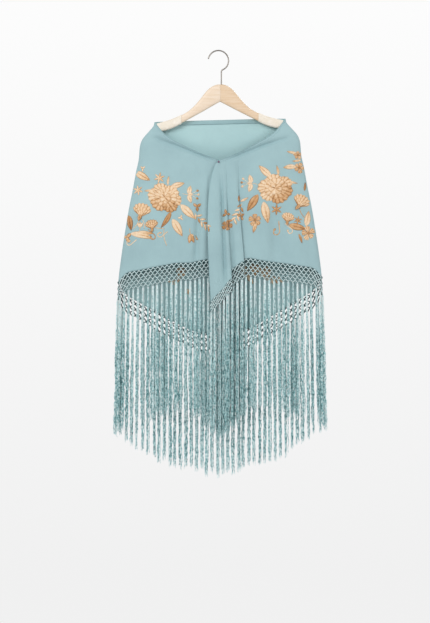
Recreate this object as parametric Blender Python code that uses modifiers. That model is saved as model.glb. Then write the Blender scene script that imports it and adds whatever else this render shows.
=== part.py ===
# A fringed flamenco shawl hung on a wooden clothes hanger.
#
# One triangle of crepe folds forward over the hanger's two tips. Its long edge runs straight across
# the back and down both fronts to a pin, and below the pin its two sharp corners hang in folds.
# A knotted net and a fringe follow the two short edges of the triangle, front and back.
#
# Metres, +Z up, +Y towards the wall behind. The origin is the point under the top of the hook
# where a rail bears, so the whole part lies below it.

import math
import random
from collections import namedtuple

import bmesh
import bpy
from mathutils import Vector

# Cloth and net
WALL = 0.0012
NET_WALL = 0.0014
SEAM_GAP = 0.0004
NET_GAP = 0.0006
SIDE_FLAT = 0.0015
LENS_POWER = 3.0
TILT = 0.026
NET_HEIGHT = 0.046
NET_HEIGHT_AT_CORNER = 0.028
HEM_WIDTH = 0.010
HEM_WALL = 0.0009
HEM_LIFT = 0.0003
HEM_END_POINTS = 5
CORNER_NET_START = 0.3
BACK_COLUMNS = 12
FRONT_ANGLES = (90, 78, 66, 54, 43, 33, 25)

# The long edge of the triangle
CORNER_HEIGHT = -0.181
BACK_EDGE_RISE = 0.003
PIN_OVERLAP = 0.006
LAYER_GAP = 0.0022
CREASE_DEPTH = 0.0030
CREASE_WIDTH = 0.026
CREASE_SHARE = 0.055
CREASE_FULL_FROM = 0.2
CREASE_FULL_TO = 0.8
LAYERS_MEET = 0.35

# Fringe
STRAND_PITCH = 0.0156
TAIL_PITCH = 0.0078
TAIL_LIMIT = 0.075
STRAND_WIDTH = 0.0062
TAIL_STRAND_WIDTH = 0.0046
STRAND_DEPTH = 0.0030
STRAND_SWAY = 0.0006
STRAND_SPREAD = 0.005
FRINGE_SEED = 11
ROOT_WIDTH = 0.0050
ROOT_START = 0.0065
ROOT_HEIGHT = 0.0060
ROOT_WALL = 0.0022
ROOT_GAP = 0.0009
ROOT_LEDGE = 0.0032
ROOT_LEDGE_PAST_FOLD = 0.0064
LEFT_ROOTS_END = -0.0155

# The thickness of a strand on its way down, as shares of its length and of its width
StrandRow = namedtuple("StrandRow", "share size")
STRAND_ROWS = (StrandRow(0.06, 0.9), StrandRow(0.5, 1.0), StrandRow(0.97, 1.1), StrandRow(1.0, 0.6))

# Hanger
HOOK_RADIUS = 0.0265
WIRE_RADIUS = 0.00175
HOOK_CENTRE_X = -0.0042
HOOK_TIP_ANGLE = 167
HOOK_NECK_ANGLE = -42
HOOK_ARC_STEPS = 22
NECK_PULL = 0.45
NECK_STEPS = 7
STEM_X = 0.0036
STEM_TOP = -0.0545
STEM_DEPTH = 0.018
STEM_CLEARANCE = 0.0003
STEM_HOLE_SIDES = 12
ARM_SIDES = 12
ARM_SQUARENESS = 0.62
JOINT_GAP = 0.0003
PAD_START = 0.100
PAD_WALL = 0.0013
PAD_FIT = 0.0003
PAD_TIP_SHARE = 0.6
PIN_HEAD_RADIUS = 0.0026
PIN_SEGMENTS = 12
PIN_RINGS = 8
PIN_ROW = 0.01
PIN_LIFT = 0.0006

# Edges that bend more than this many degrees stay sharp
HARD_EDGE = 50
STRAND_EDGE = 70

# The garment at each height: how wide it is, and how far the middle of the front and of the back
# stand out from the side lines.
SideRow = namedtuple("SideRow", "height half_width front_depth back_depth")
SIDE_ROWS = (
    SideRow(-0.181, 0.1700, 0.0100, 0.0135),
    SideRow(-0.191, 0.1730, 0.0110, 0.0135),
    SideRow(-0.205, 0.1850, 0.0125, 0.0135),
    SideRow(-0.223, 0.2005, 0.0150, 0.0135),
    SideRow(-0.241, 0.2075, 0.0170, 0.0135),
    SideRow(-0.277, 0.2110, 0.0195, 0.0140),
    SideRow(-0.309, 0.2180, 0.0210, 0.0145),
    SideRow(-0.353, 0.2260, 0.0225, 0.0150),
    SideRow(-0.407, 0.2370, 0.0240, 0.0160),
    SideRow(-0.467, 0.2470, 0.0250, 0.0170),
    SideRow(-0.527, 0.2560, 0.0260, 0.0175),
    SideRow(-0.594, 0.2640, 0.0260, 0.0175),
    SideRow(-0.700, 0.2680, 0.0260, 0.0175),
    SideRow(-0.960, 0.2735, 0.0260, 0.0175),
)

# The short edges, from the middle (out 0) to the side line (out 1), and where the fringe ends.
EdgeRow = namedtuple("EdgeRow", "out front_hem back_hem front_end back_end")
EDGE_ROWS = (
    EdgeRow(0.00, -0.546, -0.737, -1.003, -1.106),
    EdgeRow(0.10, -0.546, -0.735, -0.985, -1.100),
    EdgeRow(0.25, -0.546, -0.728, -0.945, -1.090),
    EdgeRow(0.40, -0.548, -0.709, -0.936, -1.083),
    EdgeRow(0.60, -0.556, -0.679, -0.946, -1.063),
    EdgeRow(0.80, -0.565, -0.648, -0.959, -1.029),
    EdgeRow(0.93, -0.573, -0.625, -0.975, -1.001),
    EdgeRow(1.00, -0.594, -0.594, -0.985, -0.985),
)
SIDE_HEM_HEIGHT = EDGE_ROWS[-1].front_hem
HEM_HALF_WIDTH = 0.2640

# The front part of the long edge, from the pin (share 0) to the corner over the tip (share 1).
NeckRow = namedtuple("NeckRow", "share half_x height")
NECK_ROWS = (
    NeckRow(0.00, 0.0000, -0.2880),
    NeckRow(0.30, 0.0520, -0.2660),
    NeckRow(0.58, 0.1014, -0.2410),
    NeckRow(0.77, 0.1315, -0.2240),
    NeckRow(0.90, 0.1500, -0.2070),
    NeckRow(1.00, 0.1700, -0.1810),
)

# The lines of the folds, from the smooth part of a front to its free edge below the pin. A line
# leaves the neck edge at share and heads for line_x at the hem, with the fold carrying it fold_x
# sideways, bow off its middle and depth towards the viewer. steps are the columns to the next line.
Fold = namedtuple("Fold", "share line_x fold_x bow hem_height depth steps")
RIGHT_FOLDS = (
    Fold(0.400, 0.0900, 0.0000, 0.0000, -0.5440, 0.0000, 1),
    Fold(0.330, 0.0770, 0.0000, 0.0000, -0.5415, -0.0030, 2),
    Fold(0.290, 0.0660, -0.0100, 0.0000, -0.5430, -0.0060, 2),
    Fold(0.270, 0.0635, -0.0340, 0.0000, -0.5455, -0.0072, 2),
    Fold(0.262, 0.0630, -0.0390, 0.0000, -0.5460, -0.0040, 2),
    Fold(0.250, 0.0625, -0.0200, 0.0000, -0.5475, -0.0018, 2),
    Fold(0.236, 0.0620, 0.0000, 0.0000, -0.5490, 0.0012, 2),
    Fold(0.215, 0.0530, 0.0000, 0.0000, -0.5525, 0.0050, 2),
    Fold(0.165, 0.0370, 0.0000, 0.0000, -0.5640, 0.0030, 2),
    Fold(0.125, 0.0330, -0.0130, 0.0000, -0.5750, 0.0002, 2),
    Fold(0.105, 0.0320, -0.0280, 0.0000, -0.5840, -0.0004, 2),
    Fold(0.098, 0.0315, -0.0270, 0.0000, -0.5850, 0.0036, 2),
    Fold(0.088, 0.0310, -0.0090, 0.0000, -0.5905, 0.0058, 2),
    Fold(0.076, 0.0305, 0.0000, 0.0000, -0.5945, 0.0085, 2),
    Fold(0.060, 0.0230, 0.0000, 0.0000, -0.5985, 0.0125, 2),
    Fold(0.040, 0.0080, 0.0000, 0.0000, -0.6180, 0.0095, 2),
    Fold(0.022, -0.0095, 0.0000, -0.0100, -0.6350, 0.0155, 2),
    Fold(0.008, -0.0195, 0.0000, -0.0170, -0.6460, 0.0130, 1),
    Fold(0.000, -0.0235, 0.0000, -0.0190, -0.6510, 0.0105, 1),
)
LEFT_FOLDS = (
    Fold(0.400, -0.0760, 0.0000, 0.0000, -0.5490, 0.0000, 2),
    Fold(0.300, -0.0610, 0.0000, 0.0000, -0.5460, -0.0030, 2),
    Fold(0.230, -0.0460, 0.0000, 0.0000, -0.5430, 0.0010, 2),
    Fold(0.160, -0.0290, 0.0000, 0.0000, -0.5420, -0.0020, 2),
    Fold(0.120, -0.0150, 0.0000, 0.0000, -0.5470, -0.0030, 2),
    Fold(0.095, -0.0080, 0.0120, 0.0000, -0.5550, -0.0040, 2),
    Fold(0.080, -0.0075, 0.0125, 0.0000, -0.5560, -0.0085, 2),
    Fold(0.060, -0.0070, -0.0030, 0.0000, -0.5640, -0.0110, 2),
    Fold(0.050, -0.0068, -0.0130, 0.0000, -0.5720, -0.0125, 2),
    Fold(0.040, -0.0065, -0.0120, 0.0000, -0.5735, -0.0168, 2),
    Fold(0.020, -0.0060, 0.0020, 0.0000, -0.5860, -0.0190, 2),
    Fold(0.000, -0.0055, 0.0120, 0.0000, -0.5990, -0.0205, 1),
)
FOLD_START = 0.2
FOLD_EASE = 0.6

# Rows of the walls, as shares of the way from the long edge to the hem
WALL_ROWS = (0.0, 0.025, 0.05, 0.085, 0.14, 0.22, 0.32, 0.44, 0.57, 0.71, 0.86, 1.0)

# A hanger arm, from the joint in the middle to the tip
ArmRow = namedtuple("ArmRow", "reach top bottom thickness")
ARM_ROWS = (
    ArmRow(0.000, -0.0862, -0.1312, 0.0125),
    ArmRow(0.011, -0.0875, -0.1372, 0.0125),
    ArmRow(0.022, -0.0922, -0.1432, 0.0125),
    ArmRow(0.032, -0.1000, -0.1487, 0.0125),
    ArmRow(0.042, -0.1112, -0.1542, 0.0122),
    ArmRow(0.053, -0.1252, -0.1600, 0.0120),
    ArmRow(0.065, -0.1388, -0.1662, 0.0118),
    ArmRow(0.080, -0.1522, -0.1743, 0.0115),
    ArmRow(0.098, -0.1628, -0.1835, 0.0112),
    ArmRow(0.120, -0.1730, -0.1940, 0.0108),
    ArmRow(0.142, -0.1800, -0.2010, 0.0098),
    ArmRow(0.156, -0.1835, -0.2030, 0.0078),
    ArmRow(0.1655, -0.1865, -0.2005, 0.0044),
    ArmRow(0.1695, -0.1890, -0.1965, 0.0018),
)

COLOURS = {
    "crepe": (0.36, 0.54, 0.57),
    "fringe_cord": (0.38, 0.56, 0.58),
    "pale_wood": (0.80, 0.64, 0.47),
    "hook_steel": (0.62, 0.60, 0.57),
    "pad_felt": (0.87, 0.80, 0.70),
    "pin_enamel": (0.18, 0.03, 0.10),
}
ROUGHNESS = {"crepe": 0.8, "fringe_cord": 0.6, "pale_wood": 0.5, "hook_steel": 0.3, "pad_felt": 0.9}


def lerp(a, b, share):
    return a + (b - a) * share


def smooth_step(low, high, value):
    share = min(1.0, max(0.0, (value - low) / (high - low)))
    return share * share * (3 - 2 * share)


def read_table(rows, key, value):
    """The row for any value of the key column, on a smooth curve through the table's rows."""
    keys = [getattr(row, key) for row in rows]
    sign = 1 if keys[-1] > keys[0] else -1
    value = min(max(keys), max(min(keys), value))
    last = len(rows) - 1
    i = 0
    while i < last - 1 and (value - keys[i + 1]) * sign > 0:
        i += 1
    span = keys[i + 1] - keys[i]
    share = (value - keys[i]) / span
    square, cube = share**2, share**3
    before, after = max(i - 1, 0), min(i + 2, last)
    found = []
    for column in range(len(rows[0])):
        here, there = rows[i][column], rows[i + 1][column]
        slope_here = (there - rows[before][column]) / (keys[i + 1] - keys[before]) * span
        slope_there = (rows[after][column] - here) / (keys[after] - keys[i]) * span
        found.append(
            (2 * cube - 3 * square + 1) * here
            + (cube - 2 * square + share) * slope_here
            + (3 * square - 2 * cube) * there
            + (cube - square) * slope_there
        )
    return type(rows[0])(*found)


def curve_through(points, steps):
    """A smooth run through the points, with so many steps from each one to the next."""
    found = []
    last = len(points) - 1
    for i in range(last):
        before, here = points[max(i - 1, 0)], points[i]
        there, after = points[i + 1], points[min(i + 2, last)]
        for k in range(steps[i]):
            s = k / steps[i]
            bend = (2 * before - 5 * here + 4 * there - after) * s**2
            twist = (3 * here - before - 3 * there + after) * s**3
            found.append((2 * here + (there - before) * s + bend + twist) / 2)
    found.append(points[last])
    return found


def side_row(height):
    return read_table(SIDE_ROWS, "height", height)


def edge_row(out):
    return read_table(EDGE_ROWS, "out", abs(out))


def lens(out):
    """Depth across the flattened body: 1 in the middle and 0 at the side lines."""
    return math.sqrt(max(0.0, 1.0 - min(1.0, abs(out)) ** LENS_POWER))


def place(x, y, height):
    """A point of the shawl, which hangs a little higher on the viewer's right."""
    return Vector((x, y, height + TILT * x))


def front_y(x, height):
    row = side_row(height)
    return -SIDE_FLAT - row.front_depth * lens(x / row.half_width)


def neck_point(side, share):
    """A point on the front part of the long edge. The two fronts overlap a little at the pin."""
    row = read_table(NECK_ROWS, "share", share)
    return side * (row.half_x - PIN_OVERLAP * (1 - share) ** 4), row.height


def crease(share, t):
    """The soft trough that runs beside the neck edge and closes towards the pin."""
    strength = smooth_step(0.0, CREASE_FULL_FROM, share) * (1 - smooth_step(CREASE_FULL_TO, 1.0, share))
    return CREASE_DEPTH * strength * math.exp(-(((t - CREASE_SHARE * share) / CREASE_WIDTH) ** 2))


def side_edge(side, t, towards):
    """Where a wall ends at the side line: the fronts at towards -1 and the back at +1."""
    height = lerp(CORNER_HEIGHT, SIDE_HEM_HEIGHT, t)
    return place(side * side_row(height).half_width, towards * SEAM_GAP / 2, height)


def smooth_point(side, across, t, first_fold):
    """A point of a front between its side line (across 1) and its first fold."""
    inner = abs(first_fold.line_x) / HEM_HALF_WIDTH
    share = lerp(first_fold.share, 1.0, (across - inner) / (1 - inner))
    top_x, top_height = neck_point(side, share)
    height = lerp(top_height, edge_row(across).front_hem, t)
    side_height = lerp(CORNER_HEIGHT, SIDE_HEM_HEIGHT, t)
    chord = lerp(NECK_ROWS[-1].half_x, HEM_HALF_WIDTH, t)
    swell = (side_row(side_height).half_width - chord) * across**3
    x = side * (lerp(abs(top_x), across * HEM_HALF_WIDTH, t) + swell)
    return place(x, front_y(x, height) + crease(share, t), height)


def fold_point(side, fold, t):
    """A point on one line of the folds."""
    top_x, top_height = neck_point(side, fold.share)
    height = lerp(top_height, fold.hem_height, t)
    straight = lerp(top_x, fold.line_x, t)
    sideways = fold.fold_x * smooth_step(FOLD_START, 1.0, t)
    bow = fold.bow * math.sin(math.pi * t**FOLD_EASE)
    layer = LAYER_GAP * side * (1 - smooth_step(0.0, LAYERS_MEET, fold.share))
    depth = fold.depth * t**FOLD_EASE + layer / 2
    y = front_y(straight, height) - depth + crease(fold.share, t)
    return place(straight + sideways + bow, y, height)


def front_row(side, t):
    """One row of a front wall, from the side line to the free edge below the pin."""
    folds = RIGHT_FOLDS if side > 0 else LEFT_FOLDS
    points = [side_edge(side, t, -1)]
    for angle in FRONT_ANGLES:
        points.append(smooth_point(side, math.sin(math.radians(angle)), t, folds[0]))
    points += [fold_point(side, fold, t) for fold in folds]
    steps = [1] + [1] * len(FRONT_ANGLES) + [fold.steps for fold in folds]
    return curve_through(points, steps)


def back_point(out, t):
    """A point of the back wall. out runs from -1 at one side line to 1 at the other."""
    size = abs(out)
    top_height = CORNER_HEIGHT + BACK_EDGE_RISE * lens(size)
    height = lerp(top_height, edge_row(size).back_hem, t)
    x = out * side_row(lerp(CORNER_HEIGHT, SIDE_HEM_HEIGHT, t)).half_width
    return place(x, SIDE_FLAT + side_row(height).back_depth * lens(size), height)


def back_row(t):
    """One row of the back wall, from the left side line to the right one."""
    points = [side_edge(-1, t, 1)]
    for k in range(-BACK_COLUMNS, BACK_COLUMNS + 1):
        points.append(back_point(math.sin(math.pi / 2 * k / BACK_COLUMNS), t))
    points.append(side_edge(1, t, 1))
    return points


def hang(point, drop):
    """The point this far below a hem point, following the flare of the sides."""
    height = point.z - TILT * point.x
    here, there = side_row(height).half_width, side_row(height - drop).half_width
    share = min(1.0, abs(point.x) / here)
    return Vector((point.x * lerp(1.0, there / here, share**2), point.y, point.z - drop))


def clear_scene():
    for old in list(bpy.data.objects):
        bpy.data.objects.remove(old)


def collection(name):
    found = bpy.data.collections.get(name)
    if not found:
        found = bpy.data.collections.new(name)
        bpy.context.scene.collection.children.link(found)
    return found


def material(name):
    found = bpy.data.materials.get(name)
    if found:
        return found
    found = bpy.data.materials.new(name)
    found.use_nodes = True
    shader = found.node_tree.nodes["Principled BSDF"]
    shader.inputs["Base Color"].default_value = (*COLOURS[name], 1.0)
    shader.inputs["Roughness"].default_value = ROUGHNESS.get(name, 0.25)
    shader.inputs["Metallic"].default_value = 1.0 if name == "hook_steel" else 0.0
    return found


def add_object(name, data, material_name):
    data.materials.append(material(material_name))
    thing = bpy.data.objects.new(name, data)
    collection("flamenco_shawl").objects.link(thing)
    return thing


def add_solid(name, form, material_name, sharp_degrees=HARD_EDGE):
    bmesh.ops.recalc_face_normals(form, faces=form.faces)
    mesh = bpy.data.meshes.new(name)
    form.to_mesh(mesh)
    form.free()
    mesh.shade_smooth()
    mesh.set_sharp_from_angle(angle=math.radians(sharp_degrees))
    return add_object(name, mesh, material_name)


def add_wall(name, rows, thickness, material_name):
    """A wall of cloth: an open grid through the rows, thickened evenly to both sides."""
    form = bmesh.new()
    grid = [[form.verts.new(point) for point in row] for row in rows]
    for upper, lower in zip(grid, grid[1:]):
        for i in range(len(upper) - 1):
            form.faces.new((upper[i], lower[i], lower[i + 1], upper[i + 1]))
    mesh = bpy.data.meshes.new(name)
    form.to_mesh(mesh)
    form.free()
    mesh.shade_smooth()
    wall = add_object(name, mesh, material_name)
    thicken = wall.modifiers.new("wall", "SOLIDIFY")
    thicken.thickness = thickness
    thicken.offset = 0.0
    return wall


def skin(form, rings, left_open=()):
    """Faces between rings of vertices, without the ones that left_open names by ring and side."""
    for k, (first, second) in enumerate(zip(rings, rings[1:])):
        count = len(first)
        for i in range(count):
            if (k, i) not in left_open:
                j = (i + 1) % count
                form.faces.new((first[i], first[j], second[j], second[i]))


def loft(form, sections, left_open=()):
    """A closed skin through sections of equal length, with a cap at each end."""
    rings = [[form.verts.new(point) for point in section] for section in sections]
    skin(form, rings, left_open)
    form.faces.new(rings[0])
    form.faces.new(rings[-1])
    return rings


def make_cloth():
    """The three stretches of the shawl that show, and the turned hem inside the back's top edge."""
    add_wall("shawl_front_right", [front_row(1, t) for t in WALL_ROWS], WALL, "crepe")
    add_wall("shawl_front_left", [front_row(-1, t) for t in WALL_ROWS], WALL, "crepe")
    add_wall("shawl_back", [back_row(t) for t in WALL_ROWS], WALL, "crepe")
    inward = Vector((0, -(WALL + HEM_WALL) / 2 - HEM_LIFT, 0))
    rows = []
    top = back_row(0.0)[HEM_END_POINTS:-HEM_END_POINTS]
    for drop in (HEM_LIFT, HEM_WIDTH / 2, HEM_WIDTH):
        rows.append([point + inward - Vector((0, 0, drop)) for point in top])
    add_wall("neck_hem", rows, HEM_WALL, "crepe")


def flat_length(here, there):
    """Distance between two points seen from above."""
    return math.hypot(there.x - here.x, there.y - here.y)


def front_hem(side):
    """A front's hem, each point with the height of the net there."""
    points = front_row(side, 1.0)
    smooth = 1 + len(FRONT_ANGLES)
    last = len(points) - 1
    hem = []
    for i, point in enumerate(points):
        towards_corner = smooth_step(CORNER_NET_START, 1.0, (i - smooth) / (last - smooth))
        hem.append((point, lerp(NET_HEIGHT, NET_HEIGHT_AT_CORNER, towards_corner)))
    return hem


def steepness(hem, i):
    """How much longer a gap below the hem is, measured straight down, where the hem is steep."""
    before, after = hem[max(i - 1, 0)][0], hem[min(i + 1, len(hem) - 1)][0]
    return math.hypot(1.0, (after.z - before.z) / flat_length(before, after))


def make_net(name, hem):
    """The knotted net below a hem, plain, because its gaps are many and even."""
    gaps = [NET_GAP * steepness(hem, i) for i in range(len(hem))]
    rows = []
    for share in (0.0, 0.5, 1.0):
        rows.append([hang(p, lerp(gap, drop, share)) for (p, drop), gap in zip(hem, gaps)])
    add_wall(name, rows, NET_WALL, "fringe_cord")


def outermost(hem, last_x=HEM_HALF_WIDTH):
    """The points of a hem that no later fold hides, as the fringe's roots follow the outer layer."""
    kept = [hem[0]]
    hidden = False
    for point, drop in hem[1:]:
        last, last_drop = kept[-1]
        if point.x < last.x - SEAM_GAP or point.x > last_x:
            hidden = True
            continue
        if point.x < last.x + (ROOT_LEDGE_PAST_FOLD if hidden else ROOT_LEDGE):
            continue
        if hidden:
            kept.append((last + Vector((ROOT_LEDGE, 0, 0)), last_drop))
            hidden = False
        kept.append((point, drop))
    return kept


def along(run, distance):
    """The point at a flat distance along a run, the direction there, and the net's height."""
    for (here, drop), (there, next_drop) in zip(run, run[1:]):
        length = flat_length(here, there)
        if distance <= length:
            share = distance / length
            return here.lerp(there, share), there - here, lerp(drop, next_drop, share)
        distance -= length
    return run[-1][0], run[-1][0] - run[-2][0], run[-1][1]


def in_tail(point):
    return abs(point.x) < TAIL_LIMIT and point.y < 0


def strand_places(run, total):
    """Flat distances of the strands along a run, closer together where the tails gather."""
    places = [ROOT_START]
    while True:
        pitch = TAIL_PITCH if in_tail(along(run, places[-1])[0]) else STRAND_PITCH
        if places[-1] + pitch > total - ROOT_WIDTH:
            return places
        places.append(places[-1] + pitch)


def column_places(run):
    """Flat distances of the run's own points."""
    places = [0.0]
    for here, there in zip(run, run[1:]):
        places.append(places[-1] + flat_length(here[0], there[0]))
    return places


def root_section(run, distance):
    """A section of the root strip: front and back at its top, then back and front at its foot."""
    point, direction, drop = along(run, distance)
    steep = math.hypot(1.0, direction.z / math.hypot(direction.x, direction.y))
    top = hang(point, drop + ROOT_GAP * steep)
    forward = Vector((direction.y, -direction.x, 0)).normalized() * ROOT_WALL / 2
    foot = top - Vector((0, 0, ROOT_HEIGHT))
    return [top + forward, top - forward, foot - forward, foot + forward]


def strand_end(out, back):
    row = edge_row(out)
    return row.back_end if back else row.front_end


def add_strand(form, roots, run, distance, chance):
    """One strand, drawn down from four vertices at the foot of the strip."""
    point, _, drop = along(run, distance)
    root = hang(point, drop + ROOT_GAP + ROOT_HEIGHT)
    out = min(1.0, abs(root.x) / HEM_HALF_WIDTH)
    end_height = strand_end(out, point.y > 0) + TILT * root.x
    length = root.z - end_height - chance.uniform(-STRAND_SPREAD, STRAND_SPREAD)
    sway = Vector((chance.uniform(-STRAND_SWAY, STRAND_SWAY), 0, 0))
    width = TAIL_STRAND_WIDTH if in_tail(point) else STRAND_WIDTH
    rings = [roots]
    for share, size in STRAND_ROWS:
        centre = hang(root, length * share) + sway * share
        wide = Vector((width * size / 2, 0, 0))
        deep = Vector((0, -STRAND_DEPTH * size / 2, 0))
        corners = (centre - wide + deep, centre + wide + deep, centre + wide - deep, centre - wide - deep)
        rings.append([form.verts.new(corner) for corner in corners])
    skin(form, rings)
    form.faces.new(rings[-1])


def make_fringe(name, run, chance):
    """A root strip along the foot of the net, with a strand fused to it at every place."""
    columns = column_places(run)
    strands = strand_places(run, columns[-1])
    half = ROOT_WIDTH / 2
    between = [c for c in columns if strands[0] < c < strands[-1]]
    free = [c for c in between if min(abs(c - strand) for strand in strands) > half + ROOT_WALL / 2]
    marks = sorted(free + [s - half for s in strands] + [s + half for s in strands])
    starts = [marks.index(strand - half) for strand in strands]
    form = bmesh.new()
    foot_side = 2
    left_open = {(start, foot_side) for start in starts}
    rings = loft(form, [root_section(run, mark) for mark in marks], left_open)
    for start, strand in zip(starts, strands):
        first, second = rings[start], rings[start + 1]
        add_strand(form, [first[3], second[3], second[2], first[2]], run, strand, chance)
    add_solid(name, form, "fringe_cord", STRAND_EDGE)
    print(name, len(strands), "strands")


def make_edges():
    """Net and fringe of the two fronts and the back."""
    chance = random.Random(FRINGE_SEED)
    right, left = front_hem(1), front_hem(-1)
    back = [(point, NET_HEIGHT) for point in back_row(1.0)]
    make_net("net_front_right", right)
    make_net("net_front_left", left)
    make_net("net_back", back)
    make_fringe("fringe_front_right", outermost(right[::-1]), chance)
    make_fringe("fringe_front_left", outermost(left, LEFT_ROOTS_END), chance)
    make_fringe("fringe_back", outermost(back), chance)


def arm_section(side, row, grow=0.0, reach=None):
    """An oval section of an arm, grown all round by a little for its pad."""
    middle = (row.top + row.bottom) / 2
    tall = (row.top - row.bottom) / 2 + grow
    deep = row.thickness / 2 + grow
    x = side * (row.reach if reach is None else reach)
    points = []
    for k in range(ARM_SIDES):
        angle = 2 * math.pi * (k + 0.5) / ARM_SIDES
        up = math.copysign(abs(math.sin(angle)) ** ARM_SQUARENESS, math.sin(angle))
        out = math.copysign(abs(math.cos(angle)) ** ARM_SQUARENESS, math.cos(angle))
        points.append(place(x, deep * out, middle + tall * up))
    return points


def make_arm(side, name):
    form = bmesh.new()
    rows = list(ARM_ROWS)
    sections = [arm_section(side, rows[0], reach=JOINT_GAP / 2)]
    sections += [arm_section(side, row) for row in rows[1:]]
    loft(form, sections)
    return add_solid(name, form, "pale_wood")


def make_pad(side, name):
    """A sleeve over the end of an arm, closed at the tip."""
    form = bmesh.new()
    rows = [row for row in ARM_ROWS if row.reach >= PAD_START]
    rows.insert(0, read_table(ARM_ROWS, "reach", PAD_START))
    inside, outside = PAD_FIT, PAD_FIT + PAD_WALL
    tip = rows[-1]
    inner = [arm_section(side, row, inside) for row in rows]
    inner.append(arm_section(side, tip, inside * PAD_TIP_SHARE, tip.reach + inside))
    outer = [arm_section(side, row, outside) for row in rows]
    outer.append(arm_section(side, tip, outside * PAD_TIP_SHARE, tip.reach + outside))
    loft(form, inner[::-1] + outer)
    return add_solid(name, form, "pad_felt")


def hook_points():
    """The middle of the hook's wire: from its tip over the top, round the neck and down the stem."""
    centre = Vector((HOOK_CENTRE_X, 0, WIRE_RADIUS - HOOK_RADIUS))
    points = []
    for k in range(HOOK_ARC_STEPS + 1):
        angle = math.radians(lerp(HOOK_TIP_ANGLE, HOOK_NECK_ANGLE, k / HOOK_ARC_STEPS))
        points.append(centre + HOOK_RADIUS * Vector((math.cos(angle), 0, math.sin(angle))))
    start = points[-1]
    heading = (points[-1] - points[-2]).normalized()
    end = Vector((STEM_X, 0, STEM_TOP))
    reach = (end - start).length * NECK_PULL
    first, second = start + heading * reach, end + Vector((0, 0, reach))
    for k in range(1, NECK_STEPS + 1):
        s = k / NECK_STEPS
        rest = 1 - s
        arc = rest**3 * start + 3 * rest**2 * s * first + 3 * rest * s**2 * second + s**3 * end
        points.append(arc)
    points.append(Vector((STEM_X, 0, stem_foot() + STEM_CLEARANCE)))
    return points


def stem_foot():
    return read_table(ARM_ROWS, "reach", STEM_X).top - STEM_DEPTH


def make_hook():
    points = hook_points()
    wire = bpy.data.curves.new("hanger_hook", "CURVE")
    wire.dimensions = "3D"
    wire.bevel_depth = WIRE_RADIUS
    wire.bevel_resolution = 2
    wire.use_fill_caps = True
    line = wire.splines.new("POLY")
    line.points.add(len(points) - 1)
    for spot, point in zip(line.points, points):
        spot.co = (*point, 1.0)
    add_object("hanger_hook", wire, "hook_steel")


def drill_stem_hole(arm):
    """The blind hole that the hook's stem is pressed into, from the top of one arm."""
    form = bmesh.new()
    above = read_table(ARM_ROWS, "reach", STEM_X).top + STEM_DEPTH / 2
    depth = above - stem_foot()
    radius = WIRE_RADIUS + STEM_CLEARANCE
    bmesh.ops.create_cone(form, cap_ends=True, segments=STEM_HOLE_SIDES, radius1=radius, radius2=radius,
                          depth=depth)
    mesh = bpy.data.meshes.new("stem_hole")
    form.to_mesh(mesh)
    form.free()
    cutter = bpy.data.objects.new("stem_hole", mesh)
    cutter.location = (STEM_X, 0, stem_foot() + depth / 2)
    cutter.hide_render = True
    cutter.display_type = "WIRE"
    collection("cutters").objects.link(cutter)
    hole = arm.modifiers.new("stem_hole", "BOOLEAN")
    hole.operation = "DIFFERENCE"
    hole.object = cutter


def make_hanger():
    """Two glued wooden arms, their end pads and the steel hook."""
    right = make_arm(1, "hanger_arm_right")
    make_arm(-1, "hanger_arm_left")
    drill_stem_hole(right)
    make_pad(1, "pad_right")
    make_pad(-1, "pad_left")
    make_hook()


def make_pin():
    """The head of the pin that holds the two fronts together."""
    form = bmesh.new()
    bmesh.ops.create_uvsphere(form, u_segments=PIN_SEGMENTS, v_segments=PIN_RINGS, radius=PIN_HEAD_RADIUS)
    surface = fold_point(1, RIGHT_FOLDS[-3], PIN_ROW)
    forward = Vector((0, -WALL / 2 - PIN_HEAD_RADIUS - PIN_LIFT, 0))
    bmesh.ops.translate(form, verts=form.verts, vec=surface + forward)
    add_solid("pin_head", form, "pin_enamel")


clear_scene()
make_cloth()
make_edges()
make_hanger()
make_pin()
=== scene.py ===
# %% [markdown]
# # A flamenco shawl on its hanger
#
# One triangle of crepe is folded forward over the two tips of a wooden hanger and pinned in front.
# A knotted net and a silky fringe hang from its two short edges, and flowers are embroidered on it
# in cream and tan thread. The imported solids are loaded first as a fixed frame. Each soft piece
# below is a finer one in the same place, made from the same sizes.

# %% Load the frame
import math
import random
from collections import namedtuple

import bmesh
import bpy
import numpy as np
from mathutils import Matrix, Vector
from mathutils.bvhtree import BVHTree


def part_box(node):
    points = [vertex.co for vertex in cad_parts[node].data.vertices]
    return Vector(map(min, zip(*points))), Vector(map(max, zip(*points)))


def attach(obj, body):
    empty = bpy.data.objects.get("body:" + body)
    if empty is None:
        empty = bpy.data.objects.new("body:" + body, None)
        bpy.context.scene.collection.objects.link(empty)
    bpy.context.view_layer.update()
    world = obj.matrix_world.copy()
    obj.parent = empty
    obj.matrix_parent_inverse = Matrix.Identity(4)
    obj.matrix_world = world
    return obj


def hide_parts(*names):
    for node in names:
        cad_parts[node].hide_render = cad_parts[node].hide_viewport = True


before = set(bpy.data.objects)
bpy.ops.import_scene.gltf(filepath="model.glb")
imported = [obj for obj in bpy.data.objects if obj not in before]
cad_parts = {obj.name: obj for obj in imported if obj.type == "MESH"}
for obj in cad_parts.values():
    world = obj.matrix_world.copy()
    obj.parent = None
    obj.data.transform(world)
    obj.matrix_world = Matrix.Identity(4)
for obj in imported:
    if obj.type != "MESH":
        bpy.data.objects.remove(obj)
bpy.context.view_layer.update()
print("solids in the frame:", len(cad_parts))

# %% [markdown]
# ## Camera
#
# The photograph looks straight at the shawl from a few metres away. The camera stands on the
# viewer's side, in front of the picture's middle, and its lens is worked out so that one pixel of
# the photograph is 2.6 mm at the shawl. The same two numbers turn a pixel into a place below.

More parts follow.
